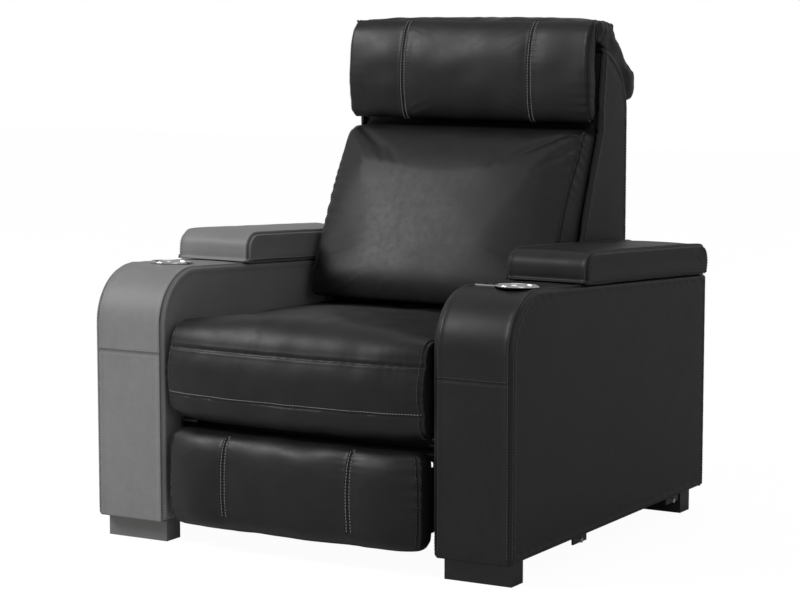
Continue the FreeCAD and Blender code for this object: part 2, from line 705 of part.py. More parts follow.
def make_seat_cushion():
    """Seat cushion: waterfall front with two sewn channels and a crowned top."""
    half = float(seat_half_width)
    base = float(d.rail_height + d.spring_wire + d.seat_underside_gap)
    top = float(d.seat_top_height)
    rear = float(seat_rear)
    crown = float(d.seat_crown)
    ahead = float(d.crown_ahead)
    wires = []
    for x, drawn in stations(half):
        rise = crown * (1 - abs(x / half) ** 2.5)
        face = -ahead + 17 * abs(x / half) ** 2 + 14 * drawn
        shrink = 8 * drawn
        low_seam = base + 59
        high_seam = base + 156
        wires.append(section(
            V(x, rear - shrink, base + shrink), V(x, face + 43, base + shrink),
            (V(x, face + 14, base + 24), V(x, face + 8, low_seam)),
            (V(x, face, low_seam + 50), V(x, face + 13, high_seam)),
            (V(x, face + 22, high_seam + 32), V(x, face + 95, top + rise - shrink)),
            V(x, 260, top + rise * 0.7 - shrink), V(x, 410, top + rise * 0.05 - shrink),
            V(x, rear - shrink, top - 2 - shrink)))
    shape = loft(wires)
    keep(feature("seat_cushion_form", shape, FreeCAD.Placement(V(0, float(front), 0), FreeCAD.Rotation())),
         "seat_cushion")


# Footrest linkage: drive links, lift links, brackets, board and cushion
def outer_lane(side, inset, width):
    """Lowest x of a linkage plate whose outer face lies inset inside an arm's inner face."""
    return mirror_x(side, half_gap - inset, width)


def link_bar(name, low, high, x, pin_x, bores):
    """Upright steel bar between two pivots with round ends, bores, and a rivet at its far pivot."""
    half = d.link_bar_width / 2
    strap = box(f"{name}_strap", (d.link_bar_steel, d.link_bar_width, high - low),
                (x, front + d.linkage_setback - half, low))
    ends = [cylinder(f"{name}_end_{number}", half, d.link_bar_steel, (x, front + d.linkage_setback, height))
            for number, height in enumerate((low, high))]
    holes = [cylinder(f"{name}_hole_{number}", d.linkage_pin_radius + d.pin_clearance, d.link_bar_steel,
                      (x, front + d.linkage_setback, height)) for number, height in enumerate(bores)]
    bar = cut(f"{name}_bar", fuse(f"{name}_raw", [strap] + ends), holes)
    start, height = pin_x
    rivet = cylinder(f"{name}_rivet", d.linkage_pin_radius, d.link_bar_steel * 2 + d.link_bar_gap,
                     (start, front + d.linkage_setback, height))
    return fuse(name, [bar, rivet])


def make_linkage():
    """Both sides of the footrest linkage with the torque tube that joins them."""
    step = d.link_bar_steel + d.link_bar_gap
    elbow = d.linkage_height - d.drive_link
    head = elbow + d.lift_link
    setback = d.linkage_setback
    for side, word in ((1, "right"), (-1, "left")):
        drive_x = outer_lane(side, d.linkage_inset, d.link_bar_steel)
        lift_x = outer_lane(side, d.linkage_inset + step, d.link_bar_steel)
        bracket_x = outer_lane(side, d.linkage_inset + step * 2, d.link_bar_steel)
        rivet_length = d.link_bar_steel * 2 + d.link_bar_gap
        drive_rivet = outer_lane(side, d.linkage_inset, rivet_length)
        lift_rivet = outer_lane(side, d.linkage_inset + step, rivet_length)
        keep(link_bar(f"drive_{word}", elbow, d.linkage_height, drive_x, (drive_rivet, elbow),
                      [d.linkage_height]), f"drive_link_{word}")
        keep(link_bar(f"lift_{word}", elbow, head, lift_x, (lift_rivet, head), [elbow]),
             f"lift_link_{word}")
        board_face = front + d.footrest_back + d.footrest_board_thickness
        rear = front + setback + d.link_bar_width / 2
        outline = [(board_face, d.footrest_base + d.footrest_board_margin * 2),
                   (board_face + d.footrest_board_margin, d.footrest_base + d.footrest_board_margin * 2),
                   (board_face + d.footrest_board_margin, head - d.link_bar_width),
                   (rear, head - d.link_bar_width / 2), (rear, d.footrest_bracket_top),
                   (board_face, d.footrest_bracket_top)]
        ear = plate(f"bracket_{word}", outline, d.link_bar_steel, bracket_x,
                    [(front + setback, head, d.linkage_pin_radius + d.pin_clearance)])
        foot = box(f"bracket_foot_{word}", (d.footrest_board_margin * 2, d.link_bar_steel,
                                            head - d.footrest_base - d.footrest_board_margin * 3),
                   (bracket_x - (d.footrest_board_margin * 2 - d.link_bar_steel) if side > 0 else bracket_x,
                    board_face, d.footrest_base + d.footrest_board_margin * 2))
        keep(fuse(f"bracket_both_{word}", [ear, foot]), f"footrest_bracket_{word}")


def crank_arm(name, length, thickness, x, start):
    """Crank that points back and down from the torque tube, with its end past the pin."""
    half = float(d.crank_pin_radius) + 3
    corners = [(-half, -half), (length + 7, -half), (length + 7, half), (-half, half)]
    diagonal = math.sqrt(0.5)
    points = [(start[0] + (along + across) * diagonal, start[1] + (across - along) * diagonal)
              for along, across in corners]
    return plate(name, points, thickness, x)


def make_torque_tube():
    """Cross tube on the drive links with the actuator's crank and two thrust cranks."""
    centre = (front + d.linkage_setback, d.linkage_height)
    reach = half_gap - d.linkage_inset - d.link_bar_steel
    diagonal = math.sqrt(0.5)
    tube = cylinder("torque_bar", d.torque_tube_radius, reach * 2, (-reach,) + centre)
    pieces = [tube, crank_arm("crank", d.crank_radius, d.crank_steel, -d.crank_steel / 2, centre)]
    offset = d.crank_radius * diagonal
    pieces.append(cylinder("crank_pin", d.crank_pin_radius, d.crank_steel * 4,
                           (-d.crank_steel * 2, centre[0] + offset, centre[1] - offset)))
    offset = d.thrust_crank_radius * diagonal
    for side, word in ((1, "right"), (-1, "left")):
        bar_width = d.link_bar_steel
        crank_x = outer_lane(side, d.thrust_bar_inset - bar_width - d.link_bar_gap, bar_width)
        pieces.append(crank_arm(f"thrust_crank_{word}", d.thrust_crank_radius, bar_width, crank_x, centre))
        pin_width = bar_width * 2 + d.link_bar_gap * 2
        pin_x = outer_lane(side, d.thrust_bar_inset - bar_width - d.link_bar_gap, pin_width)
        pieces.append(cylinder(f"thrust_pin_{word}", d.thrust_pin_radius, pin_width,
                               (pin_x, centre[0] + offset, centre[1] - offset)))
    keep(fuse("torque", pieces), "torque_tube")


def thrust_ends():
    """Setback and height of a thrust bar's front and rear pins at rest."""
    diagonal = math.sqrt(0.5)
    offset = d.thrust_crank_radius * diagonal
    front_pin = (d.linkage_setback + offset, d.linkage_height - offset)
    drop = offset / math.tan(math.radians(float(d.back_recline_angle) / 2))
    return front_pin, (back_pivot + offset, d.back_pivot_height - drop)


def make_thrust_bars():
    """Bars that pass the torque tube's turn on to the back, slotted at both ends."""
    (front_setback, front_height), (rear_setback, rear_height) = thrust_ends()
    half = d.thrust_bar_width / 2
    end = half + 3
    outline = [(front + front_setback - end, front_height - half),
               (front + rear_setback + end, rear_height - half),
               (front + rear_setback + end, rear_height + half),
               (front + front_setback - end, front_height + half)]
    slot = d.thrust_pin_radius + d.slot_clearance
    eye_half = slot + d.slot_wall
    half_recline = math.radians(float(d.back_recline_angle) / 2)
    back_crank = d.thrust_crank_radius * (math.sqrt(0.5) / math.sin(half_recline))
    for side, word in ((1, "right"), (-1, "left")):
        x = outer_lane(side, d.thrust_bar_inset, d.link_bar_steel)
        raw = plate(f"thrust_raw_{word}", outline, d.link_bar_steel, x)
        slots = []
        ends = (("front", front_setback, front_height, d.thrust_crank_radius * (1 - math.sqrt(0.5))),
                ("rear", rear_setback, rear_height, back_crank - (d.back_pivot_height - rear_height)))
        for place_word, setback, height, dip in ends:
            eye = box(f"thrust_eye_{place_word}_{word}", (d.link_bar_steel, eye_half * 2, eye_half * 2 + dip),
                      (x, front + setback - eye_half, height - dip - eye_half))
            opening = box(f"thrust_slot_{place_word}_{word}", (d.link_bar_steel, slot * 2, slot * 2 + dip),
                          (x, front + setback - slot, height - dip - slot))
            slots.append((eye, opening))
        bar = fuse(f"thrust_all_{word}", [raw] + [eye for eye, opening in slots])
        keep(cut(f"thrust_{word}", bar, [opening for eye, opening in slots]), f"thrust_bar_{word}")


def make_actuator():
    """Linear actuator: motor, gearbox and tube fixed to the rear tube, and a rod with a slotted head."""
    axis = d.actuator_height
    pin_setback = d.linkage_setback + d.crank_radius * math.sqrt(0.5)
    slot_depth = d.crank_pin_radius + d.slot_clearance
    head_front = pin_setback - slot_depth - d.rod_radius
    throat = slot_depth + d.crank_pin_radius + 5
    cheek_length = throat + slot_depth + d.rod_radius
    cheeks = [box(f"rod_cheek_{number}", (d.link_bar_steel, cheek_length, d.rod_head_height),
                  (x, front + head_front, axis - d.rod_head_height / 2))
              for number, x in enumerate((d.crank_steel / 2 + d.link_bar_gap,
                                          -(d.crank_steel / 2 + d.link_bar_gap) - d.link_bar_steel))]
    cheek_reach = d.crank_steel / 2 + d.link_bar_gap + d.link_bar_steel
    neck_setback = head_front + cheek_length
    neck = box("rod_neck", (cheek_reach * 2, d.rod_radius, cheek_reach * 2),
               (-cheek_reach, front + neck_setback, axis - cheek_reach))
    bar = cylinder("rod_bar", d.rod_radius, d.rod_length, (0, front + neck_setback, axis), along="y")
    slot_height = d.crank_radius * (1 - math.sqrt(0.5)) + d.crank_pin_radius * 2 + d.slot_clearance
    slot = box("rod_slot", (cheek_reach * 2, slot_depth * 2, slot_height),
               (-cheek_reach, front + pin_setback - slot_depth, axis - slot_height / 2))
    keep(cut("rod", fuse("rod_raw", cheeks + [neck, bar]), [slot]), "actuator_rod")

    tube = cylinder("actuator_tube", d.housing_radius, d.housing_length,
                    (0, front + d.housing_setback, axis), along="y")
    bore = cylinder("actuator_bore", d.rod_radius + d.pin_clearance * 2, d.housing_length - d.rod_radius,
                    (0, front + d.housing_setback, axis), along="y")
    gear_setback = d.housing_setback + d.housing_length
    gearbox = box("actuator_gearbox", (d.gearbox_width, d.gearbox_length, d.gearbox_height),
                  (-d.gearbox_width / 2, front + gear_setback, axis - d.gearbox_height + d.housing_radius))
    motor = cylinder("actuator_motor", d.motor_radius, d.motor_length,
                     (0, front + gear_setback - d.motor_length,
                      axis - d.housing_radius - d.motor_radius), along="y")
    gear_end = gear_setback + d.gearbox_length
    block = box("actuator_block", (d.housing_radius * 2, d.rear_tube_setback - gear_end, d.rear_tube_height),
                (-d.housing_radius, front + gear_end, d.rear_tube_base + d.rear_tube_height / 2))
    keep(cut("actuator", fuse("actuator_raw", [tube, gearbox, motor, block]), [bore]), "actuator_housing")


def make_footrest():
    """Footrest board and its cushion with two upright sewn channels."""
    board_half = footrest_half_width - d.footrest_board_margin
    board_base = d.footrest_base + d.footrest_board_margin
    board = box("footrest_board", (board_half * 2, d.footrest_board_thickness,
                                   d.footrest_top - d.footrest_board_margin - board_base),
                (-board_half, front + d.footrest_back, board_base))
    keep(board, "footrest_board")
    half = float(footrest_half_width)
    base = float(d.footrest_base)
    top = float(d.footrest_top)
    back = float(d.footrest_back)
    ahead = float(d.crown_ahead)
    rows = [(0, 1.0), (0.04, 0.62), (0.14, 0.25), (0.5, 0), (0.86, 0.25), (0.96, 0.62), (1, 1.0)]
    wires = []
    for share, drawn in rows:
        z = base + (top - base) * share
        edge = half - 16 * drawn ** 2
        face = -ahead + 34 * drawn
        seam = half / 2
        dip = face + 7 - 5 * drawn
        side = face + 26 - 10 * drawn
        wires.append(section(
            V(edge, back, z), V(-edge, back, z),
            (V(-edge - 1, back * 0.4, z), V(-edge + 4, side, z)),
            (V(-half * 0.78, face + 4, z), V(-seam, dip, z)),
            (V(0, face, z), V(seam, dip, z)),
            (V(half * 0.78, face + 4, z), V(edge - 4, side, z)),
            (V(edge + 1, back * 0.4, z), V(edge, back, z))))
    keep(feature("footrest_form", loft(wires), FreeCAD.Placement(V(0, float(front), 0), FreeCAD.Rotation())),
         "footrest_cushion")


# Back: side boards, panel board, upholstered rear and sides, cushion and pivots
rear_face = d.back_rear_setback
head_setback = d.back_rear_setback - d.back_top_radius


def back_outline(inset, base, top_share):
    """Side outline of the back in the YZ plane, with its rounded top about the headrest's pivot."""
    radius = float(d.back_top_radius) - inset
    y = float(front + head_setback)
    z = float(d.headrest_height)
    angle = math.radians(78)
    crest = V(0, y + radius * math.cos(angle), z + radius * math.sin(angle))
    over = V(0, y + radius * math.cos(angle / 2), z + radius * math.sin(angle / 2))
    rear = V(0, y + radius, z)
    waist = float(back_pivot + front)
    slope = (y + 14 - waist - 62) / (z - 35 - 712)
    return section(
        V(0, waist - 15 + inset, base), V(0, y + radius, base), rear, (over, crest),
        V(0, y + 14 + inset, z + 20), V(0, y + 14 + inset, z - 35),
        V(0, waist + 62 + inset, z - 35 - (z - 35 - 712) * top_share),
        V(0, waist + 24 + inset, z - 243), V(0, waist - 15 + inset, z - 390))


def back_slab(name, inset, base, x, width):
    """Solid slab in the back's side outline."""
    face = Part.Face(back_outline(inset, float(base), 1.0))
    return feature(name, face.extrude(V(float(width), 0, 0)),
                   FreeCAD.Placement(V(float(x), 0, 0), FreeCAD.Rotation()))


def make_back_boards():
    """Plywood posts on the back pivots, the board between them and the pivot plates."""
    half = back_half_width
    post_x = half - d.panel_thickness - d.board_thickness
    post_inset = float(d.panel_thickness)
    board_y = front + rear_face - d.panel_thickness - d.back_board_gap
    for side, word in ((1, "right"), (-1, "left")):
        raw = back_slab(f"post_raw_{word}", post_inset, d.post_foot_height,
                        mirror_x(side, post_x + d.board_thickness, d.board_thickness), d.board_thickness)
        bore = cylinder(f"post_bore_{word}", d.back_pivot_radius + d.pin_clearance, d.board_thickness * 3,
                        (mirror_x(side, half, d.board_thickness * 3), front + back_pivot,
                         d.back_pivot_height))
        keep(cut(f"post_{word}", raw, [bore]), f"back_post_{word}")
    board = box("back_board", (post_x * 2, d.board_thickness, d.headrest_height - d.back_panel_base + 110),
                (-post_x, board_y, d.back_panel_base))
    keep(board, "back_board")
    (front_setback, front_height), (rear_setback, rear_height) = thrust_ends()
    plates = []
    pivot = (front + back_pivot, d.back_pivot_height)
    for side, word in ((1, "right"), (-1, "left")):
        outer = [(pivot[0] - 14, d.post_foot_height), (pivot[0] + 80, d.post_foot_height),
                 (pivot[0] + 80, pivot[1] + 60), (pivot[0] - 14, pivot[1] + 60)]
        bore = [(pivot[0], pivot[1], d.back_pivot_radius + d.pin_clearance)]
        plates.append(plate(f"hinge_plate_{word}", outer, d.rail_steel,
                            mirror_x(side, post_x + d.board_thickness + d.rail_steel, d.rail_steel), bore))
        lever = [(pivot[0] - 14, pivot[1] - 20), (front + rear_setback - 9, rear_height - 8),
                 (front + rear_setback + 9, rear_height - 8), (pivot[0] + 50, pivot[1] - 10),
                 (pivot[0] + 50, pivot[1] + 60), (pivot[0] - 14, pivot[1] + 60)]
        arm = plate(f"back_lever_{word}", lever, d.rail_steel, mirror_x(side, post_x, d.rail_steel), bore)
        pin_length = post_x - (half_gap - d.thrust_bar_inset - d.link_bar_steel) + d.link_bar_gap
        pin = cylinder(f"back_pin_{word}", d.thrust_pin_radius, pin_length,
                       (mirror_x(side, post_x, pin_length), front + rear_setback, rear_height))
        plates.append(fuse(f"back_lever_pin_{word}", [arm, pin]))
    keep(group("back_plates", plates), "back_pivot_plates")


def make_back_covers():
    """Upholstered side panels and the rear panel that wraps over the back's rounded top."""
    half = back_half_width
    for side, word in ((1, "right"), (-1, "left")):
        panel = back_slab(f"back_side_{word}", 0.0, d.back_side_base,
                          mirror_x(side, half, d.panel_thickness), d.panel_thickness)
        keep(panel, f"back_side_panel_{word}")
    inner = float(d.back_top_radius - d.panel_thickness)
    outer = float(d.back_top_radius)
    y = float(front + head_setback)
    z = float(d.headrest_height)
    base = float(d.back_panel_base)
    crest = math.radians(78)
    wire = section(
        V(0, y + inner, base), V(0, y + outer, base), V(0, y + outer, z),
        (V(0, y + outer * math.cos(crest / 2), z + outer * math.sin(crest / 2)),
         V(0, y + outer * math.cos(crest), z + outer * math.sin(crest))),
        V(0, y + inner * math.cos(crest), z + inner * math.sin(crest)),
        (V(0, y + inner * math.cos(crest / 2), z + inner * math.sin(crest / 2)), V(0, y + inner, z)))
    width = float(half - d.panel_thickness) * 2
    keep(feature("rear_panel_form", Part.Face(wire).extrude(V(width, 0, 0)),
                 FreeCAD.Placement(V(-width / 2, 0, 0), FreeCAD.Rotation())), "back_rear_panel")


def make_back_cushion():
    """Back cushion: lumbar bulge below, drawn-in sides, boxed edge back to the side panels."""
    half = float(cushion_half_width)
    base = float(d.cushion_base)
    top = float(d.cushion_top)
    rear = float(rear_face - d.panel_thickness - d.back_board_gap) - 0.5
    crown = float(d.cushion_crown)
    wires = []
    for x, drawn in stations(half):
        swell = crown * (1 - abs(x / half) ** 2.4)
        inset = 34 * drawn
        shrink = 7 * drawn
        wires.append(section(
            V(x, rear, base + shrink), V(x, rear, top - shrink), V(x, 700 + inset * 0.5, top - shrink),
            (V(x, 668 - swell * 0.6 + inset, top - 12), V(x, 645 - swell + inset, top - 50)),
            (V(x, 588 - swell + inset, top - 140), V(x, 547 - swell + inset, top - 234)),
            (V(x, 500 - swell + inset, base + 70), V(x, 520 - swell + inset, base + shrink))))
    raw = feature("back_cushion_form", loft(wires),
                  FreeCAD.Placement(V(0, float(front), 0), FreeCAD.Rotation()))
    slack = float(d.pad_clearance)
    reach = d.panel_thickness + d.board_thickness + d.pad_clearance
    sides = [back_slab(f"cushion_side_{word}", -slack, d.back_side_base,
                       mirror_x(side, back_half_width, reach), reach)
             for side, word in ((1, "right"), (-1, "left"))]
    keep(cut("back_cushion_cut", raw, sides), "back_cushion")


# Headrest: board and hinge arms, pillow and the flap that slides over the back's rounded top
def make_headrest_frame():
    """Pressed plate with its hinge arms behind the pillow, and the brackets with studs that carry it."""
    y = front + head_setback
    z = d.headrest_height
    board = box("headrest_plank", (headrest_board_half_width * 2, d.panel_thickness,
                                   d.headrest_board_top - z - 16),
                (-headrest_board_half_width, y, z + 16))
    arms = [board]
    brackets = []
    stud_clear = d.headrest_stud_radius + d.pin_clearance
    board_face = front + rear_face - d.panel_thickness - d.back_board_gap
    for side, word in ((1, "right"), (-1, "left")):
        far = d.headrest_arm_offset + d.headrest_steel
        outline = [(y - 9, z - 9), (y + 9, z - 9), (y + 27, z + 9), (y + 27, z + 110),
                   (y + d.panel_thickness, z + 110), (y + d.panel_thickness, z + 15), (y - 9, z + 9)]
        arms.append(plate(f"headrest_arm_{word}", outline, d.headrest_steel,
                          mirror_x(side, far, d.headrest_steel), [(y, z, stud_clear)]))
        far = far + d.headrest_steel + d.link_bar_gap
        outline = [(y - 9, z - 12), (board_face, z - 12), (board_face, z + 10), (y - 9, z + 10)]
        ear = plate(f"headrest_ear_{word}", outline, d.headrest_steel,
                    mirror_x(side, far, d.headrest_steel))
        stud_length = d.headrest_steel * 2 + d.link_bar_gap * 2
        stud = cylinder(f"headrest_stud_{word}", d.headrest_stud_radius, stud_length,
                        (mirror_x(side, far, stud_length), y, z))
        brackets.append(fuse(f"headrest_bracket_{word}", [ear, stud]))
    keep(fuse("headrest_plate", arms), "headrest_frame")
    keep(group("headrest_bracket_pair", brackets), "headrest_brackets")


def make_headrest_soft():
    """Headrest pillow with two sewn channels, and the loose flap folded over the back."""
    y = float(head_setback)
    z = float(d.headrest_height)
    half = float(pillow_half_width)
    base = float(d.pillow_base)
    depth = float(d.pillow_depth)
    crest = float(d.back_top_radius + d.flap_gap)
    wires = []
    for x, drawn in stations(half, 9):
        seam = math.exp(-((abs(x) - half * 0.52) / 14) ** 2)
        inset = 10 * drawn + 5 * seam
        wires.append(section(
            V(x, y, z + 16), V(x, y, z + crest),
            V(x, y, z + 202 - inset),
            (V(x, y - 10 + inset * 0.6, z + 190 - inset), V(x, y - depth + 32 + inset, z + 162 - inset)),
            (V(x, y - depth - 3 + inset, z + 84), V(x, y - depth + 8 + inset, z + 16)),
            (V(x, y - depth + 15 + inset * 0.8, base + 10), V(x, y - 17, base + 2 + inset * 0.5)),
            V(x, y - 17, z + 16)))
    at_front = FreeCAD.Placement(V(0, float(front), 0), FreeCAD.Rotation())
    keep(feature("pillow_form", loft(wires, ruled=True), at_front), "headrest_pillow")
    reach = float(d.back_top_radius + d.flap_reach)
    wires = []
    for x, drawn in stations(half - 4):
        outer_top = 203 - 10 * drawn
        tail = math.radians(9)
        middle = math.radians(45)
        low = math.radians(22)
        outer = reach - 4 * drawn
        wires.append(section(
            V(x, y + 0.3, z + crest),
            (V(x, y + crest * math.sin(middle), z + crest * math.cos(middle)),
             V(x, y + crest * math.cos(tail), z + crest * math.sin(tail))),
            (V(x, y + crest + 22, z + crest * math.sin(tail) - 6),
             V(x, y + outer, z + outer * math.sin(low))),
            (V(x, y + outer * 0.78, z + outer * 0.66), V(x, y + outer * 0.4, z + outer_top)),
            V(x, y + 0.3, z + outer_top)))
    keep(feature("flap_form", loft(wires), FreeCAD.Placement(V(0, float(front), 0), FreeCAD.Rotation())),
         "headrest_flap")


def make_pivots():
    """Brackets on the arms for the back, and the pivot bolts of the back and the drive links."""
    brackets = []
    bolts = []
    for side, word in ((1, "right"), (-1, "left")):
        corner = front + rail_end
        far = corner + d.pivot_bracket_length
        outline = [(corner, d.rail_height - d.rail_web), (far, d.rail_height - d.rail_web),
                   (far, d.back_pivot_height + d.pivot_bracket_rise),
                   (corner, d.back_pivot_height + d.pivot_bracket_rise)]
        brackets.append(plate(f"pivot_bracket_{word}", outline, d.rail_steel,
                              mirror_x(side, half_gap, d.rail_steel),
                              [(front + back_pivot, d.back_pivot_height,
                                d.back_pivot_radius + d.pin_clearance)]))
        reach = half_gap - (back_half_width - d.panel_thickness - d.board_thickness - d.rail_steel)
        bolts.append(cylinder(f"back_bolt_{word}", d.back_pivot_radius, reach,
                              (mirror_x(side, half_gap, reach), front + back_pivot,
                               d.back_pivot_height)))
        reach = d.linkage_inset + d.link_bar_steel - d.rail_steel
        bolts.append(cylinder(f"linkage_bolt_{word}", d.linkage_pin_radius, reach,
                              (mirror_x(side, half_gap - d.rail_steel, reach),
                               front + d.linkage_setback, d.linkage_height)))
    keep(group("pivot_brackets", brackets), "back_pivot_brackets")
    keep(group("pivot_bolts_all", bolts), "pivot_bolts")


for arm_side, arm_word in ((1, "right"), (-1, "left")):
    make_arm(arm_side, arm_word)
    make_lid(arm_side, arm_word)
make_control()
make_feet()
make_links()
make_lid_hinges()
make_base()
make_springs()
make_seat_cushion()
make_linkage()
make_torque_tube()
make_thrust_bars()
make_actuator()
make_footrest()
make_back_boards()
make_back_covers()
make_back_cushion()
make_headrest_frame()
make_headrest_soft()
make_pivots()
doc.recompute()

faults = [obj.Name for obj in doc.Objects if set(obj.State) & {"Invalid", "Error"}]
for obj in exported:
    if obj.Shape.isNull() or not obj.Shape.isValid() or not obj.Shape.Solids:
        faults.append(obj.Label)
if faults:
    raise RuntimeError("not built: " + ", ".join(faults))
for obj in exported:
    obj.Shape.exportStep(f"parts/{obj.Label}.step")
print(len(exported), "sub-parts")
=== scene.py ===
import logging
import math
from dataclasses import dataclass, field
from enum import Enum
from typing import Callable, Optional, Sequence, Union

import bmesh
import bpy
import numpy as np
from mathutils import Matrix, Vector
from mathutils.bvhtree import BVHTree

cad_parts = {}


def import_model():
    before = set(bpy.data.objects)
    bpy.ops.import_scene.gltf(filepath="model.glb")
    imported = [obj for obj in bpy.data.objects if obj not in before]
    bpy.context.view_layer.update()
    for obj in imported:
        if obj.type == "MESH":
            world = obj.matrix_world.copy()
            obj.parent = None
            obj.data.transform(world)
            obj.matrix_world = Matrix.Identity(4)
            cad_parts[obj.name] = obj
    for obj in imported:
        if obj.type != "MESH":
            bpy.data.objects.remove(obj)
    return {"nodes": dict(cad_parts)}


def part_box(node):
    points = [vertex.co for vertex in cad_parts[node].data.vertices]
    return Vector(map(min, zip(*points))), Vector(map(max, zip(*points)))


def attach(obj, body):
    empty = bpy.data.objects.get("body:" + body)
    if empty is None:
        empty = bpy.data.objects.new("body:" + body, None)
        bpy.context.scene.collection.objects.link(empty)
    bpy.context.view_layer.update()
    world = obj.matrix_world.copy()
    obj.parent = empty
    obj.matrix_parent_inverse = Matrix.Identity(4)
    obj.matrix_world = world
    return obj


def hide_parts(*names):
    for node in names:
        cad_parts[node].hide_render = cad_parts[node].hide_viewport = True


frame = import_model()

LOG = logging.getLogger("recliner")
FRONT = -445.0  # y of the arms' front, in millimetres; setbacks count from it
MM = 1000.0  # millimetres in a metre
SEAM_HOLD = 0.004  # cloth this near a seam is held, in metres
SEAM_REACH = 0.05  # leather this near a seam follows it, in metres
THREAD_LIFT = 0.0005  # height of the thread's middle over the leather, in metres
CLOTH_FRAMES = 20
CLOTH = {"quality": 5, "mass": 0.25, "tension_stiffness": 18, "compression_stiffness": 18,
         "shear_stiffness": 6, "bending_stiffness": 0.6, "use_pressure": True}
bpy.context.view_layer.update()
Points = np.ndarray
Step = Union[tuple[float, float], tuple[tuple[float, float], tuple[float, float]]]


class Side(Enum):
    """An arm of the seat, named as the sitter sees it from the front, with the sign of its x."""

    RIGHT = 1
    LEFT = -1

    @property
    def word(self) -> str:
        """The ending of the side's node names."""
        return self.name.lower()

    @property
    def slot(self) -> str:
        """The record's leather slot of the side's arm."""
        return "black_leather" if self is Side.RIGHT else "grey_leather"


class Rides(Enum):
    """Bodies of the frame that new pieces ride on."""

    BASE = "base"
    LID_LEFT = "lid_left"
    LID_RIGHT = "lid_right"
    FOOTREST = "footrest"
    BACK = "back"
    HEADREST = "headrest"


# Numbers to points


def world(points: Points) -> Points:
    """Turns x, setback and height in millimetres into metres in the model's frame.

    Args:
        points: array whose last axis holds x, setback behind the arms' front and height.

    Returns:
        The same points in metres.
    """
    return (np.asarray(points, float) + np.array([0.0, FRONT, 0.0])) / MM


def setback_of(points: Points) -> Points:
    """Setback in millimetres of points in metres."""
    return points[:, 1] * MM - FRONT


def arc(first: Sequence[float], middle: Sequence[float], last: Sequence[float],
        gap: float) -> Points:
    """Points on the circle through three points, from after the first to the last.

    The centre solves the two perpendicular bisectors; the angles run the way that passes middle.

    Args:
        first, middle, last: three points of the arc.
        gap: distance between points.

    Returns:
        Array of points.
    """
    a, b, c = (np.array(p, float) for p in (first, middle, last))
    system = 2 * np.array([b - a, c - a])
    centre = np.linalg.solve(system, np.array([b @ b - a @ a, c @ c - a @ a]))
    turn = [math.atan2(*(p - centre)[::-1]) for p in (a, b, c)]
    span = (turn[2] - turn[0]) % (2 * math.pi)
    if (turn[1] - turn[0]) % (2 * math.pi) > span:
        span -= 2 * math.pi
    radius = np.linalg.norm(a - centre)
    count = max(2, int(abs(span) * radius / gap))
    angle = turn[0] + span * np.arange(1, count + 1) / count
    return centre + radius * np.stack([np.cos(angle), np.sin(angle)], -1)


def trace(start: tuple[float, float], *steps: Step, gap: float = 4.0) -> Points:
    """Open path of lines and arcs through points of a side view.

    Args:
        start: first point.
        steps: each a point to run straight to, or an arc's middle and end.
        gap: distance between points.

    Returns:
        Array of points, evenly spaced.
    """
    parts = [np.array([start], float)]
    for step in steps:
        here = parts[-1][-1]
        if isinstance(step[0], tuple):
            parts.append(arc(here, step[0], step[1], gap / 4))
        else:
            parts.append(np.array([step], float))
    return even(np.concatenate(parts), gap)


def even(path: Points, gap: float) -> Points:
    """The path with points at equal distances along it.

    Args:
        path: array of points.
        gap: wanted distance.

    Returns:
        Array of points that starts and ends where the path does.
    """
    run = run_of(path)
    return at_run(np.linspace(0, run[-1], max(2, int(round(run[-1] / gap)) + 1)), run, path)


def at_run(places: Points, run: Points, rows: Points) -> Points:
    """Reads an array along a path, in straight lines between the path's points.

    Args:
        places: distances along the path.
        run: the distance at each of its points.
        rows: what to read, a row for each of its points.

    Returns:
        A row for each place.
    """
    return np.stack([np.interp(places, run, column) for column in rows.T], -1)


def tangents(path: Points) -> Points:
    """Unit directions along a path, from central differences."""
    step = np.gradient(path, axis=0)
    return step / np.maximum(np.linalg.norm(step, axis=1, keepdims=True), 1e-12)


def lean(path: Points) -> Points:
    """Outward normals of a side view path that runs up the front and over the top."""
    along = tangents(path)
    return np.stack([-along[:, 1], along[:, 0]], -1)


def run_of(path: Points) -> Points:
    """Distance along a path at each of its points."""
    return np.concatenate([[0.0], np.cumsum(np.linalg.norm(np.diff(path, axis=0), axis=1))])


def soften(rows: Points, times: int) -> None:
    """Evens an array in place: half of each inner row, and a quarter of each neighbour."""
    for _ in range(times):
        rows[1:-1] = (rows[:-2] + 2 * rows[1:-1] + rows[2:]) / 4


def bell(distance: Points, width: float) -> Points:
    """Bell curve of height 1: e to the minus square of distance over width."""
    return np.exp(-((np.asarray(distance) / width) ** 2))


def eased(count: int, pull: float = 0.85) -> Points:
    """Places from 0 to 1 that crowd at both ends: u less a share of sin(2 pi u) / (2 pi)."""
    u = np.linspace(0, 1, count)
    return u - pull * np.sin(2 * math.pi * u) / (2 * math.pi)


def ripple(points: Points, wave: Sequence[float], seed: int, count: int = 14) -> Points:
    """Smooth uneven field from -1 to 1: the mean of plane waves with seeded directions and phases.

    Args:
        points: array of points.
        wave: wavelength along each axis, in the points' own unit.
        seed: seed of the directions.
        count: number of waves.

    Returns:
        One value for each point.
    """
    random = np.random.default_rng(seed)
    heading = random.normal(size=(count, 3))
    heading /= np.linalg.norm(heading, axis=1, keepdims=True)
    heading *= random.uniform(0.6, 1.6, (count, 1)) * 2 * math.pi / np.asarray(wave, float)
    phase = random.uniform(0, 2 * math.pi, count)
    return np.sin(points @ heading.T + phase).sum(-1) / math.sqrt(count * 2.0)


# Points to meshes


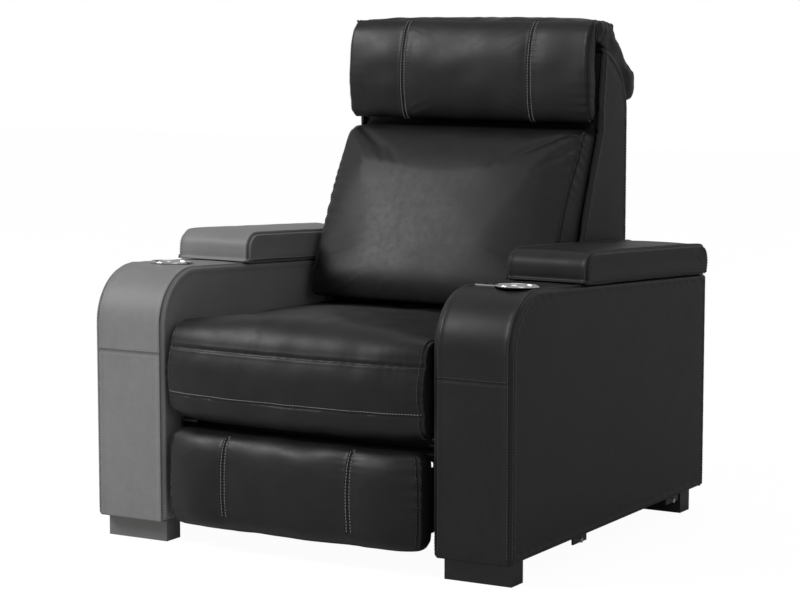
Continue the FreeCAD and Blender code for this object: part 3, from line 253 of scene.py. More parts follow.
def make_object(name: str, vertices: Points, faces: Union[Points, list],
                smooth: bool = True) -> bpy.types.Object:
    """Links a mesh object at the origin.

    Args:
        name: the object's name.
        vertices: points in metres.
        faces: corners of each face, as an array or as a list of lists.
        smooth: whether the shading is smooth.

    Returns:
        The object.
    """
    mesh = bpy.data.meshes.new(name)
    flat = np.asarray(vertices, float).reshape(-1, 3).tolist()
    mesh.from_pydata(flat, [], faces if isinstance(faces, list) else faces.tolist())
    mesh.polygons.foreach_set("use_smooth", np.full(len(mesh.polygons), smooth))
    mesh.update()
    piece = bpy.data.objects.new(name, mesh)
    bpy.context.scene.collection.objects.link(piece)
    return piece


def grid_faces(rows: int, columns: int, start: int = 0, flip: bool = False) -> Points:
    """Quads between neighbouring rows and columns of a grid.

    Args:
        rows, columns: size of the grid.
        start: number of the first vertex.
        flip: whether the faces point the other way.

    Returns:
        Array of four corners each.
    """
    number = start + np.arange(rows * columns).reshape(rows, columns)
    quads = np.stack([number[:-1, :-1], number[:-1, 1:], number[1:, 1:], number[1:, :-1]], -1)
    quads = quads.reshape(-1, 4)
    return quads[:, ::-1] if flip else quads


def tube_faces(rings: int, around: int) -> Points:
    """Quads between neighbouring closed rings of equal counts, four corners each."""
    number = np.arange(rings * around).reshape(rings, around)
    after = np.roll(number, -1, axis=1)
    return np.stack([number[:-1], after[:-1], after[1:], number[1:]], -1).reshape(-1, 4)


def closed_slab(name: str, face: Points, back: Points) -> bpy.types.Object:
    """Closed solid between an outer grid and an inner grid of the same size.

    Args:
        name: the object's name.
        face: grid of the seen side, rows by columns by 3, in metres.
        back: grid of the hidden side.

    Returns:
        The object, with its normals outwards.
    """
    rows, columns = face.shape[:2]
    size = rows * columns
    number = np.arange(size).reshape(rows, columns)
    rim = np.concatenate([number[0, :], number[1:, -1], number[-1, -2::-1], number[-2:0:-1, 0]])
    after = np.roll(rim, -1)
    walls = np.stack([rim, rim + size, after + size, after], -1)
    faces = np.concatenate([grid_faces(rows, columns), grid_faces(rows, columns, size, True),
                            walls])
    piece = make_object(name, np.concatenate([face.reshape(-1, 3), back.reshape(-1, 3)]), faces)
    face_out(piece)
    return piece


def face_out(piece: bpy.types.Object) -> None:
    """Recalculates a closed mesh's normals outwards."""
    mesh = bmesh.new()
    mesh.from_mesh(piece.data)
    bmesh.ops.recalc_face_normals(mesh, faces=mesh.faces)
    mesh.to_mesh(piece.data)
    mesh.free()


def paint_seam_shade(piece: bpy.types.Object, dark: Points) -> None:
    """Stores the painted shade in the seams' grooves, from 0 to 1 at each vertex, for the leather
    to read.
    """
    shade = piece.data.attributes.new("seam", "FLOAT", "POINT")
    shade.data.foreach_set("value", dark.astype(np.float32))


def search_tree(mesh: bpy.types.Mesh) -> BVHTree:
    """Tree that finds the nearest place on a mesh."""
    return BVHTree.FromPolygons([tuple(point) for point in corners(mesh).tolist()],
                                [tuple(face.vertices) for face in mesh.polygons])


def settle(piece: bpy.types.Object) -> bpy.types.Object:
    """Turns a piece's modifiers into its mesh."""
    bpy.context.view_layer.update()
    evaluated = piece.evaluated_get(bpy.context.evaluated_depsgraph_get())
    mesh = bpy.data.meshes.new_from_object(evaluated)
    piece.modifiers.clear()
    old = piece.data
    piece.data = mesh
    bpy.data.meshes.remove(old)
    mesh.name = piece.name
    return piece


def corners(mesh: bpy.types.Mesh) -> Points:
    """A mesh's vertices as an array."""
    points = np.zeros(len(mesh.vertices) * 3)
    mesh.vertices.foreach_get("co", points)
    return points.reshape(-1, 3)


def normals(mesh: bpy.types.Mesh) -> Points:
    """A mesh's vertex normals as an array."""
    arrows = np.zeros(len(mesh.vertices) * 3)
    mesh.vertex_normals.foreach_get("vector", arrows)
    return arrows.reshape(-1, 3)


def place_corners(mesh: bpy.types.Mesh, points: Points) -> None:
    """Moves a mesh's vertices to an array of points."""
    mesh.vertices.foreach_set("co", points.ravel())
    mesh.update()


# Shader maths

Number = Union[float, "Ink"]


def feed(tree: bpy.types.NodeTree, socket: bpy.types.NodeSocket, value: "Value") -> None:
    """Links a value to a socket, or sets the socket's own number or colour."""
    if isinstance(value, Ink):
        tree.links.new(value.socket, socket)
    else:
        socket.default_value = value


class Ink:
    """One value socket of a shader, on which Python's operators add Math nodes."""

    def __init__(self, tree: bpy.types.NodeTree, socket: bpy.types.NodeSocket) -> None:
        """Wraps an output socket of the tree."""
        self.tree = tree
        self.socket = socket

    def math(self, operation: str, *values: Number) -> "Ink":
        """Adds one Math node.

        Args:
            operation: the node's operation.
            values: its inputs in order.

        Returns:
            The node's output.
        """
        node = self.tree.nodes.new("ShaderNodeMath")
        node.operation = operation
        for place, value in enumerate(values):
            feed(self.tree, node.inputs[place], value)
        return Ink(self.tree, node.outputs[0])

    def __add__(self, other: Number) -> "Ink":
        """Sum."""
        return self.math("ADD", self, other)

    def __radd__(self, other: Number) -> "Ink":
        """Sum with a number before it."""
        return self.math("ADD", other, self)

    def __sub__(self, other: Number) -> "Ink":
        """Difference."""
        return self.math("SUBTRACT", self, other)

    def __rsub__(self, other: Number) -> "Ink":
        """Difference from a number."""
        return self.math("SUBTRACT", other, self)

    def __mul__(self, other: Number) -> "Ink":
        """Product."""
        return self.math("MULTIPLY", self, other)

    def __rmul__(self, other: Number) -> "Ink":
        """Product with a number before it."""
        return self.math("MULTIPLY", other, self)

    def __abs__(self) -> "Ink":
        """Size without sign."""
        return self.math("ABSOLUTE", self)

    def smooth(self, low: float, high: float) -> "Ink":
        """Share of the way from low to high, held within 0 and 1 and eased."""
        share = self.math("DIVIDE", self - low, high - low)
        share = self.math("MINIMUM", self.math("MAXIMUM", share, 0.0), 1.0)
        return share * share * (3.0 - 2.0 * share)


Value = Union[float, tuple, Ink]


class Palette:
    """A material's node tree, with one method that adds any node."""

    def __init__(self, name: str) -> None:
        """Starts an empty material of that name."""
        self.material = bpy.data.materials.new(name)
        self.material.use_nodes = True
        self.tree = self.material.node_tree
        self.tree.nodes.clear()

    def add(self, kind: str, settings: Optional[dict] = None, values: Optional[dict] = None,
            output: Union[int, str] = 0) -> Ink:
        """Adds a node.

        Args:
            kind: the node's type.
            settings: its properties, set before its sockets.
            values: numbers, colours or links by socket name or number.
            output: which output to return.

        Returns:
            That output.
        """
        node = self.tree.nodes.new(kind)
        for key, setting in (settings or {}).items():
            setattr(node, key, setting)
        for key, value in (values or {}).items():
            feed(self.tree, node.inputs[key], value)
        return Ink(self.tree, node.outputs[output] if len(node.outputs) else None)

    def spot(self) -> Ink:
        """Object coordinates, in metres."""
        return self.add("ShaderNodeTexCoord", output="Object")

    def stretched(self, scale: Sequence[float]) -> Ink:
        """Object coordinates scaled on each axis."""
        return self.add("ShaderNodeMapping", {}, {"Vector": self.spot(), "Scale": tuple(scale)})

    def noise(self, scale: float, detail: float = 3.0, rough: float = 0.5,
              at: Optional[Ink] = None) -> Ink:
        """Noise from 0 to 1."""
        return self.add("ShaderNodeTexNoise", {}, {"Vector": at or self.spot(), "Scale": scale,
                                                   "Detail": detail, "Roughness": rough}, "Fac")

    def cells(self, scale: float) -> Ink:
        """Distance to the nearest centre in a pattern of cells."""
        return self.add("ShaderNodeTexVoronoi", {"feature": "F1"},
                        {"Vector": self.spot(), "Scale": scale}, "Distance")

    def blend(self, share: Number, first: Value, second: Value) -> Ink:
        """Colour between two colours."""
        return self.add("ShaderNodeMix", {"data_type": "RGBA", "clamp_factor": True},
                        {0: share, 6: first, 7: second}, 2)

    def relief(self, height: Ink, depth: float, strength: float = 1.0) -> Ink:
        """Normal bent by a height from 0 to 1 over a depth in metres."""
        return self.add("ShaderNodeBump", {},
                        {"Height": height, "Distance": depth, "Strength": strength})

    def close(self, **values: Value) -> bpy.types.Material:
        """Ends the material in a Principled shader.

        Args:
            values: its sockets' values, with underscores for spaces.

        Returns:
            The material.
        """
        named = {key.replace("_", " "): value for key, value in values.items()}
        shader = self.add("ShaderNodeBsdfPrincipled", {}, named)
        self.add("ShaderNodeOutputMaterial", {}, {"Surface": shader})
        return self.material


def tone(value: float, warm: float = 0.0) -> tuple[float, float, float, float]:
    """Grey of a linear value, warmer or cooler by a share."""
    return (value * (1 + warm), value, value * (1 - warm), 1.0)


@dataclass(frozen=True)
class Leather:
    """Smooth upholstery leather: fine pebble grain, soft creases and a cloudy tone."""

    name: str
    dark: float
    light: float
    roughness: float = 0.43
    crease: float = 1.0

    def make(self) -> bpy.types.Material:
        """Builds the material.

        Returns:
            The material, whose tone darkens with the mesh's seam attribute: painted shade in the
            seam grooves.
        """
        palette = Palette(self.name)
        cloud = palette.noise(7.0, 5.0, 0.62)
        mottle = palette.noise(60.0, 4.0, 0.7)
        pebble = palette.cells(520.0)
        pores = palette.cells(1500.0)
        creases = abs(palette.noise(30.0, 3.0, 0.5) - 0.5) * 2.0
        seam = palette.add("ShaderNodeAttribute", {"attribute_name": "seam"}, output="Fac")
        shade = cloud * 0.55 + mottle * 0.45
        colour = palette.blend(shade.smooth(0.32, 0.72), tone(self.dark), tone(self.light))
        # painted shade in the seam grooves: the seam attribute mixes the tone towards a quarter of
        # the dark tone
        colour = palette.blend(seam * 0.8, colour, tone(self.dark * 0.25))
        folds = creases.smooth(0.0, 0.06) * 0.08 * self.crease
        grain = (1.0 - pebble) * 0.3 + (1.0 - pores) * 0.1 + folds
        wear = (mottle - 0.5) * 0.16
        roughness = self.roughness + wear + (cloud - 0.5) * 0.14 + pebble * 0.06
        return palette.close(Base_Color=colour, Roughness=roughness, Specular_IOR_Level=0.34,
                             Normal=palette.relief(grain, 0.0005, 0.4))


@dataclass(frozen=True)
class Thread:
    """Twisted sewing thread."""

    name: str
    value: float

    def make(self) -> bpy.types.Material:
        """Builds the material with a fine twist in tone and relief."""
        palette = Palette(self.name)
        twist = palette.add("ShaderNodeTexWave",
                            {"wave_type": "BANDS", "bands_direction": "DIAGONAL"},
                            {"Vector": palette.spot(), "Scale": 900.0, "Distortion": 1.5}, "Fac")
        colour = palette.blend(twist, tone(self.value * 0.7), tone(self.value * 1.2))
        return palette.close(Base_Color=colour, Roughness=0.55 + twist * 0.1,
                             Normal=palette.relief(twist, 0.0002, 0.5))


@dataclass(frozen=True)
class Metal:
    """Metal with fine brushing and faint smudges."""

    name: str
    value: float
    roughness: float
    brushed: float = 0.3
    metallic: float = 1.0

    def make(self) -> bpy.types.Material:
        """Builds the material."""
        palette = Palette(self.name)
        brushing = palette.noise(140.0, 3.0, 0.6, palette.stretched((0.06, 1.0, 1.0)))
        smudge = palette.noise(9.0, 4.0, 0.6)
        colour = palette.blend(smudge, tone(self.value * 0.88), tone(self.value))
        roughness = self.roughness + brushing * 0.12 * self.brushed + (smudge - 0.5) * 0.1
        return palette.close(Base_Color=colour, Metallic=self.metallic, Roughness=roughness,
                             Normal=palette.relief(brushing, 0.0003, 0.25 * self.brushed))


@dataclass(frozen=True)
class Coating:
    """Powder coat, moulded plastic or stained wood: one tone with a fine stipple or grain."""

    name: str
    colour: tuple[float, float, float]
    roughness: float
    stipple: float = 900.0
    depth: float = 0.0002
    along: tuple[float, float, float] = (1.0, 1.0, 1.0)

    def make(self) -> bpy.types.Material:
        """Builds the material."""
        palette = Palette(self.name)
        coarse = palette.noise(self.stipple / 12, 4.0, 0.6, palette.stretched(self.along))
        fine = palette.noise(self.stipple, 2.0, 0.5, palette.stretched(self.along))
        dark = tuple(0.78 * part for part in self.colour) + (1.0,)
        colour = palette.blend(coarse, dark, self.colour + (1.0,))
        return palette.close(Base_Color=colour, Roughness=self.roughness + (coarse - 0.5) * 0.15,
                             Normal=palette.relief(fine * 0.6 + coarse * 0.4, self.depth, 0.5))


@dataclass(frozen=True)
class Plywood:
    """Birch plywood: face grain in long bands."""

    name: str

    def make(self) -> bpy.types.Material:
        """Builds the material."""
        palette = Palette(self.name)
        grain = palette.noise(26.0, 6.0, 0.65, palette.stretched((1.0, 0.14, 1.0)))
        figure = palette.add("ShaderNodeTexWave", {"wave_type": "RINGS"},
                             {"Vector": palette.stretched((1.0, 0.1, 1.0)), "Scale": 9.0,
                              "Distortion": 5.0, "Detail": 3.0}, "Fac")
        colour = palette.blend(grain * 0.6 + figure * 0.4, (0.50, 0.34, 0.19, 1.0),
                               (0.68, 0.50, 0.31, 1.0))
        return palette.close(Base_Color=colour, Roughness=0.6 + grain * 0.12,
                             Normal=palette.relief(grain, 0.0004, 0.4))


class Finishes:
    """Every material of the seat, made once."""

    def __init__(self) -> None:
        """Makes the materials."""
        self.black = Leather("black_leather_finish", 0.0075, 0.0135).make()
        self.grey = Leather("grey_leather_finish", 0.225, 0.265, 0.5, 0.7).make()
        self.lining = Coating("black_lining", (0.010, 0.010, 0.010), 0.85, 1500.0, 0.0004).make()
        self.grey_lining = Coating("grey_lining", (0.17, 0.17, 0.17), 0.85, 1500.0, 0.0004).make()
        self.pale_thread = Thread("pale_thread", 0.38).make()
        self.dark_thread = Thread("dark_thread", 0.08).make()
        self.grey_thread = Thread("grey_thread", 0.40).make()
        self.chrome = Metal("chrome_finish", 0.62, 0.12, 0.15).make()
        # the cup's liner is a real part; its near-black tone is painted shade for the cup's opening
        self.shade = Metal("cup_inside_painted_shade", 0.10, 0.35, 0.4).make()
        self.zinc = Metal("zinc_finish", 0.60, 0.30, 1.0).make()
        self.spring = Metal("spring_finish", 0.30, 0.38, 0.8).make()
        self.coat = Coating("black_powder_coat", (0.022, 0.022, 0.023), 0.42, 700.0, 0.0003).make()
        self.plastic = Coating("black_plastic_finish", (0.018, 0.018, 0.019), 0.45, 1200.0).make()
        self.black_foot = Coating("black_stain", (0.016, 0.015, 0.015), 0.38, 220.0, 0.0003,
                                  (1.0, 0.12, 1.0)).make()
        self.grey_foot = Coating("grey_stain", (0.21, 0.21, 0.21), 0.45, 220.0, 0.0003,
                                 (1.0, 0.12, 1.0)).make()
        self.wood = Plywood("plywood_finish").make()

    def leather(self, side: Side) -> bpy.types.Material:
        """The leather of an arm."""
        return self.black if side is Side.RIGHT else self.grey

    def thread(self, side: Side) -> bpy.types.Material:
        """The thread of an arm."""
        return self.dark_thread if side is Side.RIGHT else self.grey_thread


def dress(piece: bpy.types.Object, finish: bpy.types.Material, body: Rides,
          stands_for: Sequence[str] = ()) -> bpy.types.Object:
    """Gives a piece its finish and body, and hides the nodes that it stands for.

    Args:
        piece: the object.
        finish: its material.
        body: the body that it rides on.
        stands_for: nodes that it replaces.

    Returns:
        The piece.
    """
    piece.data.materials.clear()
    piece.data.materials.append(finish)
    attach(piece, body.value)
    if stands_for:
        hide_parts(*stands_for)
    LOG.info("%s: %d faces on %s", piece.name, len(piece.data.polygons), body.value)
    return piece


# Thread


@dataclass
class Stitching:
    """Rows of single stitches: short tapered capsules that dip into the leather at both ends."""

    pitch: float = 6.0
    length: float = 4.6
    radius: float = 0.75
    sides: int = 5
    places: tuple[float, ...] = (-1.0, -0.55, 0.55, 1.0)
    shares: tuple[float, ...] = (0.4, 1.0, 1.0, 0.4)
    sinks: tuple[float, ...] = (-0.9, 0.0, 0.0, -0.9)
    lift: float = 0.2
    lines: list[tuple[Points, Points]] = field(default_factory=list)

    def row(self, line: Points, arrows: Points) -> None:
        """Adds a row.

        Args:
            line: points along the row, in metres.
            arrows: the leather's normals there.
        """
        run = run_of(line)
        count = int(run[-1] * MM / self.pitch)
        if count < 2:
            return
        middles = (np.arange(count) + 0.5) * run[-1] / count
        spots, up, along = (at_run(middles, run, part) for part in (line, arrows, tangents(line)))
        self.lines.append((spots, np.stack([up, along], 1)))

    def build(self, name: str) -> Optional[bpy.types.Object]:
        """Joins all rows into one mesh.

        Each stitch is a ring of points at each place along its half length, with its share of the
        radius, sunk by its sink of the radius, and all of it is lifted by a share of the radius.

        Args:
            name: the object's name.

        Returns:
            The object, or None if there is no row.
        """
        if not self.lines:
            return None
        centre = np.concatenate([spots for spots, _ in self.lines])
        up, along = np.moveaxis(np.concatenate([arrows for _, arrows in self.lines]), 1, 0).copy()
        along /= np.linalg.norm(along, axis=1, keepdims=True)
        up = up - (up * along).sum(1, keepdims=True) * along
        up /= np.maximum(np.linalg.norm(up, axis=1, keepdims=True), 1e-9)
        across = np.cross(along, up)
        radius = self.radius / MM
        reach = np.array(self.places) * self.length / 2 / MM
        height = (np.array(self.sinks) + self.lift) * radius
        turn = 2 * math.pi * np.arange(self.sides) / self.sides
        middle = (centre[:, None] + along[:, None] * reach[None, :, None]
                  + up[:, None] * height[None, :, None])
        ring = (across[:, None, None] * np.cos(turn)[None, None, :, None]
                + up[:, None, None] * np.sin(turn)[None, None, :, None])
        points = middle[:, :, None] + ring * (radius * np.array(self.shares))[None, :, None, None]
        rings = len(self.places)
        first = np.arange(self.sides)
        ends = np.array([first[::-1], first + (rings - 1) * self.sides])
        offset = np.arange(len(centre))[:, None, None] * rings * self.sides
        quads = (tube_faces(rings, self.sides)[None] + offset).reshape(-1, 4)
        caps = (ends[None] + offset).reshape(-1, self.sides)
        piece = make_object(name, points, quads.tolist() + caps.tolist())
        face_out(piece)
        return piece


def sew(name: str, stitching: Stitching, thread: bpy.types.Material, body: Rides) -> None:
    """Builds a stitching piece and puts it on its body."""
    piece = stitching.build(name)
    if piece:
        dress(piece, thread, body)


# Boxed upholstery: a band between two side panels


@dataclass(frozen=True)
class Groove:
    """Section of a sewn seam: a dip at its middle, and a rolled lip at a distance from it."""

    depth: float
    width: float
    lip: float
    lip_at: float
    lip_width: float

    def height(self, distance: Points) -> Points:
        """Height over the leather: the lip's bell curve less the dip's bell curve."""
        return (self.lip * bell(distance - self.lip_at, self.lip_width)
                - self.depth * bell(distance, self.width))


@dataclass
class Boxed:
    """Leather over a board box: a band that follows a side view path, and a panel on each side.

    The side panel is a field over setback and height. Its x is the side less the drop of a round
    corner: r less the root of r squared less the square of r less the distance to the outline.
    """

    low: float
    high: float
    corner: float = 7.0
    wall: float = 6.5
    inset: float = 1.2
    crown: float = 1.6
    cross_seams: tuple[float, ...] = ()
    pucker: float = 0.35
    seed: int = 1
    edge_seam: Groove = Groove(3.0, 2.6, 1.0, 8.0, 4.0)
    cross_seam: Groove = Groove(2.2, 2.0, 0.5, 6.0, 3.0)
    side_seam: Groove = Groove(2.2, 2.4, 1.0, 9.0, 5.0)
    # width in millimetres of the painted shade along the seams
    seam_shade: float = 2.2
    row_step: float = 2.5
    fullness: float = 45.0
    slack: float = 0.3
    slack_wave: float = 130.0
    slack_in: float = 40.0
    fold_at: float = 12.0
    fold_reach: float = 9.0
    path: Points = field(init=False)

    def __post_init__(self) -> None:
        """Lays the band's path."""
        self.path = self.make_path()

    def make_path(self) -> Points:
        """The band's path, as setback and height."""
        raise NotImplementedError

    @property
    def half(self) -> float:
        """Half the band's width, between the side seams."""
        return (self.high - self.low) / 2 - self.corner + 1

    def side_x(self, outward: int) -> float:
        """X of the side with the higher x for 1, and of the other for -1."""
        return self.high if outward > 0 else self.low

    def drop(self, distance: Points) -> Points:
        """How far the side panel falls back at a distance from its outline."""
        short = np.clip(self.corner - distance, 0, self.corner)
        return self.corner - np.sqrt(self.corner ** 2 - short ** 2)

    def band_height(self, run: Points, place: Points) -> Points:
        """Height of the band over its path.

        The sum of a crown across, a rolled edge, and a dip at each side seam and cross seam.

        Args:
            run: distance along the path.
            place: x less the band's middle.

        Returns:
            Heights in millimetres.
        """
        edge = self.half - np.abs(place)
        height = self.crown * (0.2 - (place / self.half) ** 2) + self.edge_seam.height(edge)
        for seam in self.cross_seams:
            height = height + self.cross_seam.height(np.abs(run - seam))
        wave = np.sin(run / 5.1 + 1.7 * np.sin(run / 31.0 + self.seed))
        return height + self.pucker * wave * np.exp(-edge / 11) * (1 - bell(edge, 3))

    def at(self, run: Points) -> tuple[Points, Points]:
        """Points of the path, and its outward normals, at distances along it."""
        length = run_of(self.path)
        return at_run(run, length, self.path), at_run(run, length, lean(self.path))

    def band_point(self, run: Points, place: Points, lift: float = 0.0) -> Points:
        """Point on the band in metres.

        Args:
            run: distance along the path.
            place: x less the band's middle.
            lift: height over the leather.

        Returns:
            Points in metres.
        """
        here, arrow = self.at(run)
        side = here + arrow * (self.band_height(run, place) + lift)[..., None]
        return world(np.concatenate([((self.low + self.high) / 2 + place)[..., None], side], -1))

    def band(self, name: str) -> bpy.types.Object:
        """Builds the band as a closed solid."""
        length = run_of(self.path)[-1]
        run = np.linspace(0, length, int(length / 3.2))
        place = self.half * (2 * eased(46, 0.8) - 1)
        grid_run, grid_place = np.meshgrid(run, place, indexing="ij")
        face = self.band_point(grid_run, grid_place)
        sunk = self.band_point(grid_run, grid_place, -self.wall)
        piece = closed_slab(name, face, sunk)
        # painted shade along the side seams and cross seams
        dark = bell(self.half - np.abs(grid_place), self.seam_shade)
        for seam in self.cross_seams:
            dark = np.maximum(dark, bell(grid_run - seam, self.seam_shade))
        paint_seam_shade(piece, np.concatenate([dark.ravel(), dark.ravel()]))
        return piece

    def panel_field(self, columns: int, rows: int) -> tuple[Points, Points]:
        """Setback and height of the panel's grid: columns along the path's span, rows up to it."""
        raise NotImplementedError

    def panel_x(self, setback: Points, height: Points, outward: int) -> tuple[Points, Points]:
        """X of a side panel over a grid of its side view, and its painted seam shade.

        Args:
            setback, height: the grid.
            outward: 1 for the side with the higher x, -1 for the other.

        Returns:
            X in millimetres, and shares of painted seam shade from 0 to 1.
        """
        flat = np.stack([setback.ravel(), height.ravel()], -1)
        loop = self.loop()
        distance = np.full(len(flat), 1e9)
        first, second = loop, np.roll(loop, -1, axis=0)
        for start in range(0, len(flat), 2000):
            part = flat[start:start + 2000, None]
            along = second - first
            share = ((part - first) * along).sum(-1) / np.maximum((along ** 2).sum(-1), 1e-9)
            near = first + np.clip(share, 0, 1)[..., None] * along
            distance[start:start + 2000] = np.linalg.norm(part - near, axis=-1).min(1)
        distance = np.maximum(distance - self.inset, 0).reshape(setback.shape)
        swell = self.crown * (1 - np.exp(-distance / self.fullness))
        level = np.stack([setback, height, setback * 0], -1)
        slack = self.slack * ripple(level, (self.slack_wave,) * 3, self.seed)
        slack = slack * np.clip(distance / self.slack_in, 0, 1)
        wave = np.sin((setback + height) / 5.3 + 1.5 * np.sin((setback - height) / 37.0))
        fold = self.pucker * wave * np.exp(-np.abs(distance - self.fold_at) / self.fold_reach)
        fall = self.drop(distance) + self.crown - swell - slack - fold
        fall = fall - self.side_seam.height(distance)
        return self.side_x(outward) - outward * fall, bell(distance, self.seam_shade)

    def loop(self) -> Points:
        """Closed outline of the side panel."""
        raise NotImplementedError

    def panel(self, name: str, outward: int) -> bpy.types.Object:
        """Builds a side panel as a closed solid."""
        setback, height = self.panel_field(150, 110)
        x, dark = self.panel_x(setback, height, outward)
        back = np.full_like(x, self.side_x(outward) - outward * (self.corner + 2))
        face = world(np.stack([x, setback, height], -1))
        piece = closed_slab(name, face, world(np.stack([back, setback, height], -1)))
        paint_seam_shade(piece, np.concatenate([dark.ravel(), dark.ravel()]))
        return piece

    def seam_rows(self, stitching: Stitching, first: float = 12.0, last: float = 12.0) -> None:
        """Adds the thread rows on both sides of both side seams, and along cross seams.

        Args:
            stitching: where the rows go.
            first, last: distance of the rows' ends from the path's ends.
        """
        in_band, in_side, over, cross_shift = 5.0, 4.6, 0.15, 5.0
        run = np.arange(first, run_of(self.path)[-1] - last, self.row_step)
        here, arrow = self.at(run)
        upright = np.concatenate([np.zeros((len(run), 1)), arrow], -1)
        fall = self.drop(np.array(in_side)) + self.crown * math.exp(-in_side / self.fullness) - 0.1
        for outward in (1, -1):
            place = np.full(len(run), outward * (self.half - in_band))
            stitching.row(self.band_point(run, place, over), upright)
            x = np.full((len(run), 1), self.side_x(outward) - outward * fall)
            line = np.concatenate([x, here - arrow * (in_side + self.inset)], -1)
            tilt = np.full((len(run), 1), outward * math.sin(math.radians(60)))
            stitching.row(world(line), np.concatenate([tilt, arrow * 0.5], -1))
        place = np.arange(-self.half + 6, self.half - 6, self.row_step)
        for seam in self.cross_seams:
            _, arrow = self.at(np.array([seam]))
            beside = self.band_point(np.full(len(place), seam + cross_shift), place, over)
            stitching.row(beside, np.tile([0.0, *arrow[0]], (len(place), 1)))


@dataclass
class ArmBox(Boxed):
    """Arm of the seat: flat bottom, upright front, round nose, sloping top and upright rear."""

    base: float = 45.0
    depth: float = 900.0
    front_height: float = 562.0
    rear_height: float = 510.0
    nose: float = 115.0

    @property
    def slope(self) -> float:
        """Fall of the top for each millimetre of setback."""
        return (self.front_height - self.rear_height) / self.depth

    def top(self, setback: Points) -> Points:
        """Height of the outline over a setback, with the nose."""
        centre = self.front_height - self.slope * self.nose - self.nose * math.hypot(1, self.slope)
        line = self.front_height - self.slope * setback
        circle = centre + np.sqrt(np.maximum(self.nose ** 2 - (self.nose - setback) ** 2, 0))
        tangent = self.nose + self.nose * self.slope / math.hypot(1, self.slope)
        return np.where(setback < tangent, circle, line)

    def make_path(self) -> Points:
        """The band's path from the front's foot over the nose and top and down the rear."""
        lift = math.hypot(1, self.slope)
        centre = self.front_height - self.slope * self.nose - self.nose * lift
        angle = np.linspace(math.pi, math.pi / 2 - math.atan(self.slope), 40)
        nose = np.stack([self.nose + self.nose * np.cos(angle),
                         centre + self.nose * np.sin(angle)], -1)
        bend = 9.0
        angle = np.linspace(math.pi / 2, 0, 10)
        rear = np.stack([self.depth - bend + bend * np.cos(angle),
                         self.rear_height - bend + bend * np.sin(angle)], -1)
        path = np.concatenate([[[0.0, self.base]], nose, rear, [[self.depth, self.base]]])
        return even(path, 3.0)

    def loop(self) -> Points:
        """Closed outline of the side panel."""
        return self.path

    def panel_field(self, columns: int, rows: int) -> tuple[Points, Points]:
        """Setback and height of the panel's grid, crowded towards the outline."""
        u = self.inset + (self.depth - 2 * self.inset) * eased(columns, 0.86)
        v = eased(rows, 0.86)
        top = self.top(u) - self.inset * 1.2
        top = np.minimum(top, self.rear_height + 60)
        setback, share = np.meshgrid(u, v, indexing="ij")
        height = self.base + 0.4 + (top[:, None] - self.base - 0.4) * share
        return setback, height


@dataclass
class BackBox(Boxed):
    """Back of the seat: side panels with a stepped front edge, and a rear panel over its top."""

    base: float = 400.0
    rear: float = 879.0
    shoulder: float = 146.0
    pivot: float = 850.0
    front_edge: tuple[tuple[float, float], ...] = ((625.0, 400.0), (625.0, 460.0), (664.0, 607.0),
                                                   (702.0, 712.0), (747.0, 815.0), (747.0, 870.0),
                                                   (763.4, 992.8))

    def make_path(self) -> Points:
        """The rear panel's path from the shoulder's crest down to the rear's foot, turned about."""
        crest = math.radians(78)
        angle = np.linspace(crest, 0, 50)
        centre = self.rear - self.shoulder
        over = np.stack([centre + self.shoulder * np.cos(angle),
                         self.pivot + self.shoulder * np.sin(angle)], -1)
        return even(np.concatenate([over, [[self.rear, 340.0]]]), 3.0)

    def loop(self) -> Points:
        """Closed outline of the side panel."""
        line = self.path[self.path[:, 1] > self.base]
        return np.concatenate([np.array(self.front_edge), line, [[self.rear, self.base]]])

    def panel_field(self, columns: int, rows: int) -> tuple[Points, Points]:
        """Setback and height of the panel's grid, rows from the front edge to the rear edge."""
        crest = self.front_edge[-1][1]
        v = self.base + (crest - self.inset - self.base) * eased(rows + 40, 0.8)
        u = eased(columns, 0.86)
        edge = np.array(self.front_edge)
        ahead = np.interp(v, edge[:, 1], edge[:, 0])
        smooth = np.convolve(np.pad(ahead, 4, mode="edge"), np.ones(9) / 9, mode="valid")
        ahead = smooth + self.inset
        centre = self.rear - self.shoulder
        rise = np.clip(v - self.pivot, 0, self.shoulder * 0.9999)
        behind = centre + np.sqrt(self.shoulder ** 2 - rise ** 2) - self.inset
        behind = np.maximum(behind, ahead + 0.5)
        share, height = np.meshgrid(u, v, indexing="ij")
        return ahead[None] + (behind - ahead)[None] * share, height


# Cushions: copied solid, remeshed, blown up as cloth, then sewn


@dataclass
class Seam:
    """A sewn line on a cushion: a groove with rolled lips, puckers beside it and rows of thread."""

    guide: Points
    depth: float = 3.0
    width: float = 2.6
    lip: float = 0.6
    pucker: float = 0.5
    wave: float = 15.0
    reach: float = 16.0
    rows: tuple[float, ...] = (4.5, -4.5)
    pale: bool = False
    seed: int = 0

    def groove(self) -> Groove:
        """The seam's section, with its lip 2.4 widths from its middle."""
        return Groove(self.depth, self.width, self.lip, self.width * 2.4, self.width)

    def puckers(self, run: Points) -> Points:
        """Height of the puckers at a distance along the seam in metres.

        A sine wave whose phase wanders along the seam, times a share that drifts from 0.1 to 1.
        """
        beat = np.sin(2 * math.pi * run * MM / self.wave + 2.2 * np.sin(run * 43.0 + self.seed))
        drift = 0.55 + 0.45 * np.sin(run * 21.0 + self.seed * 1.7)
        return self.pucker * beat * drift


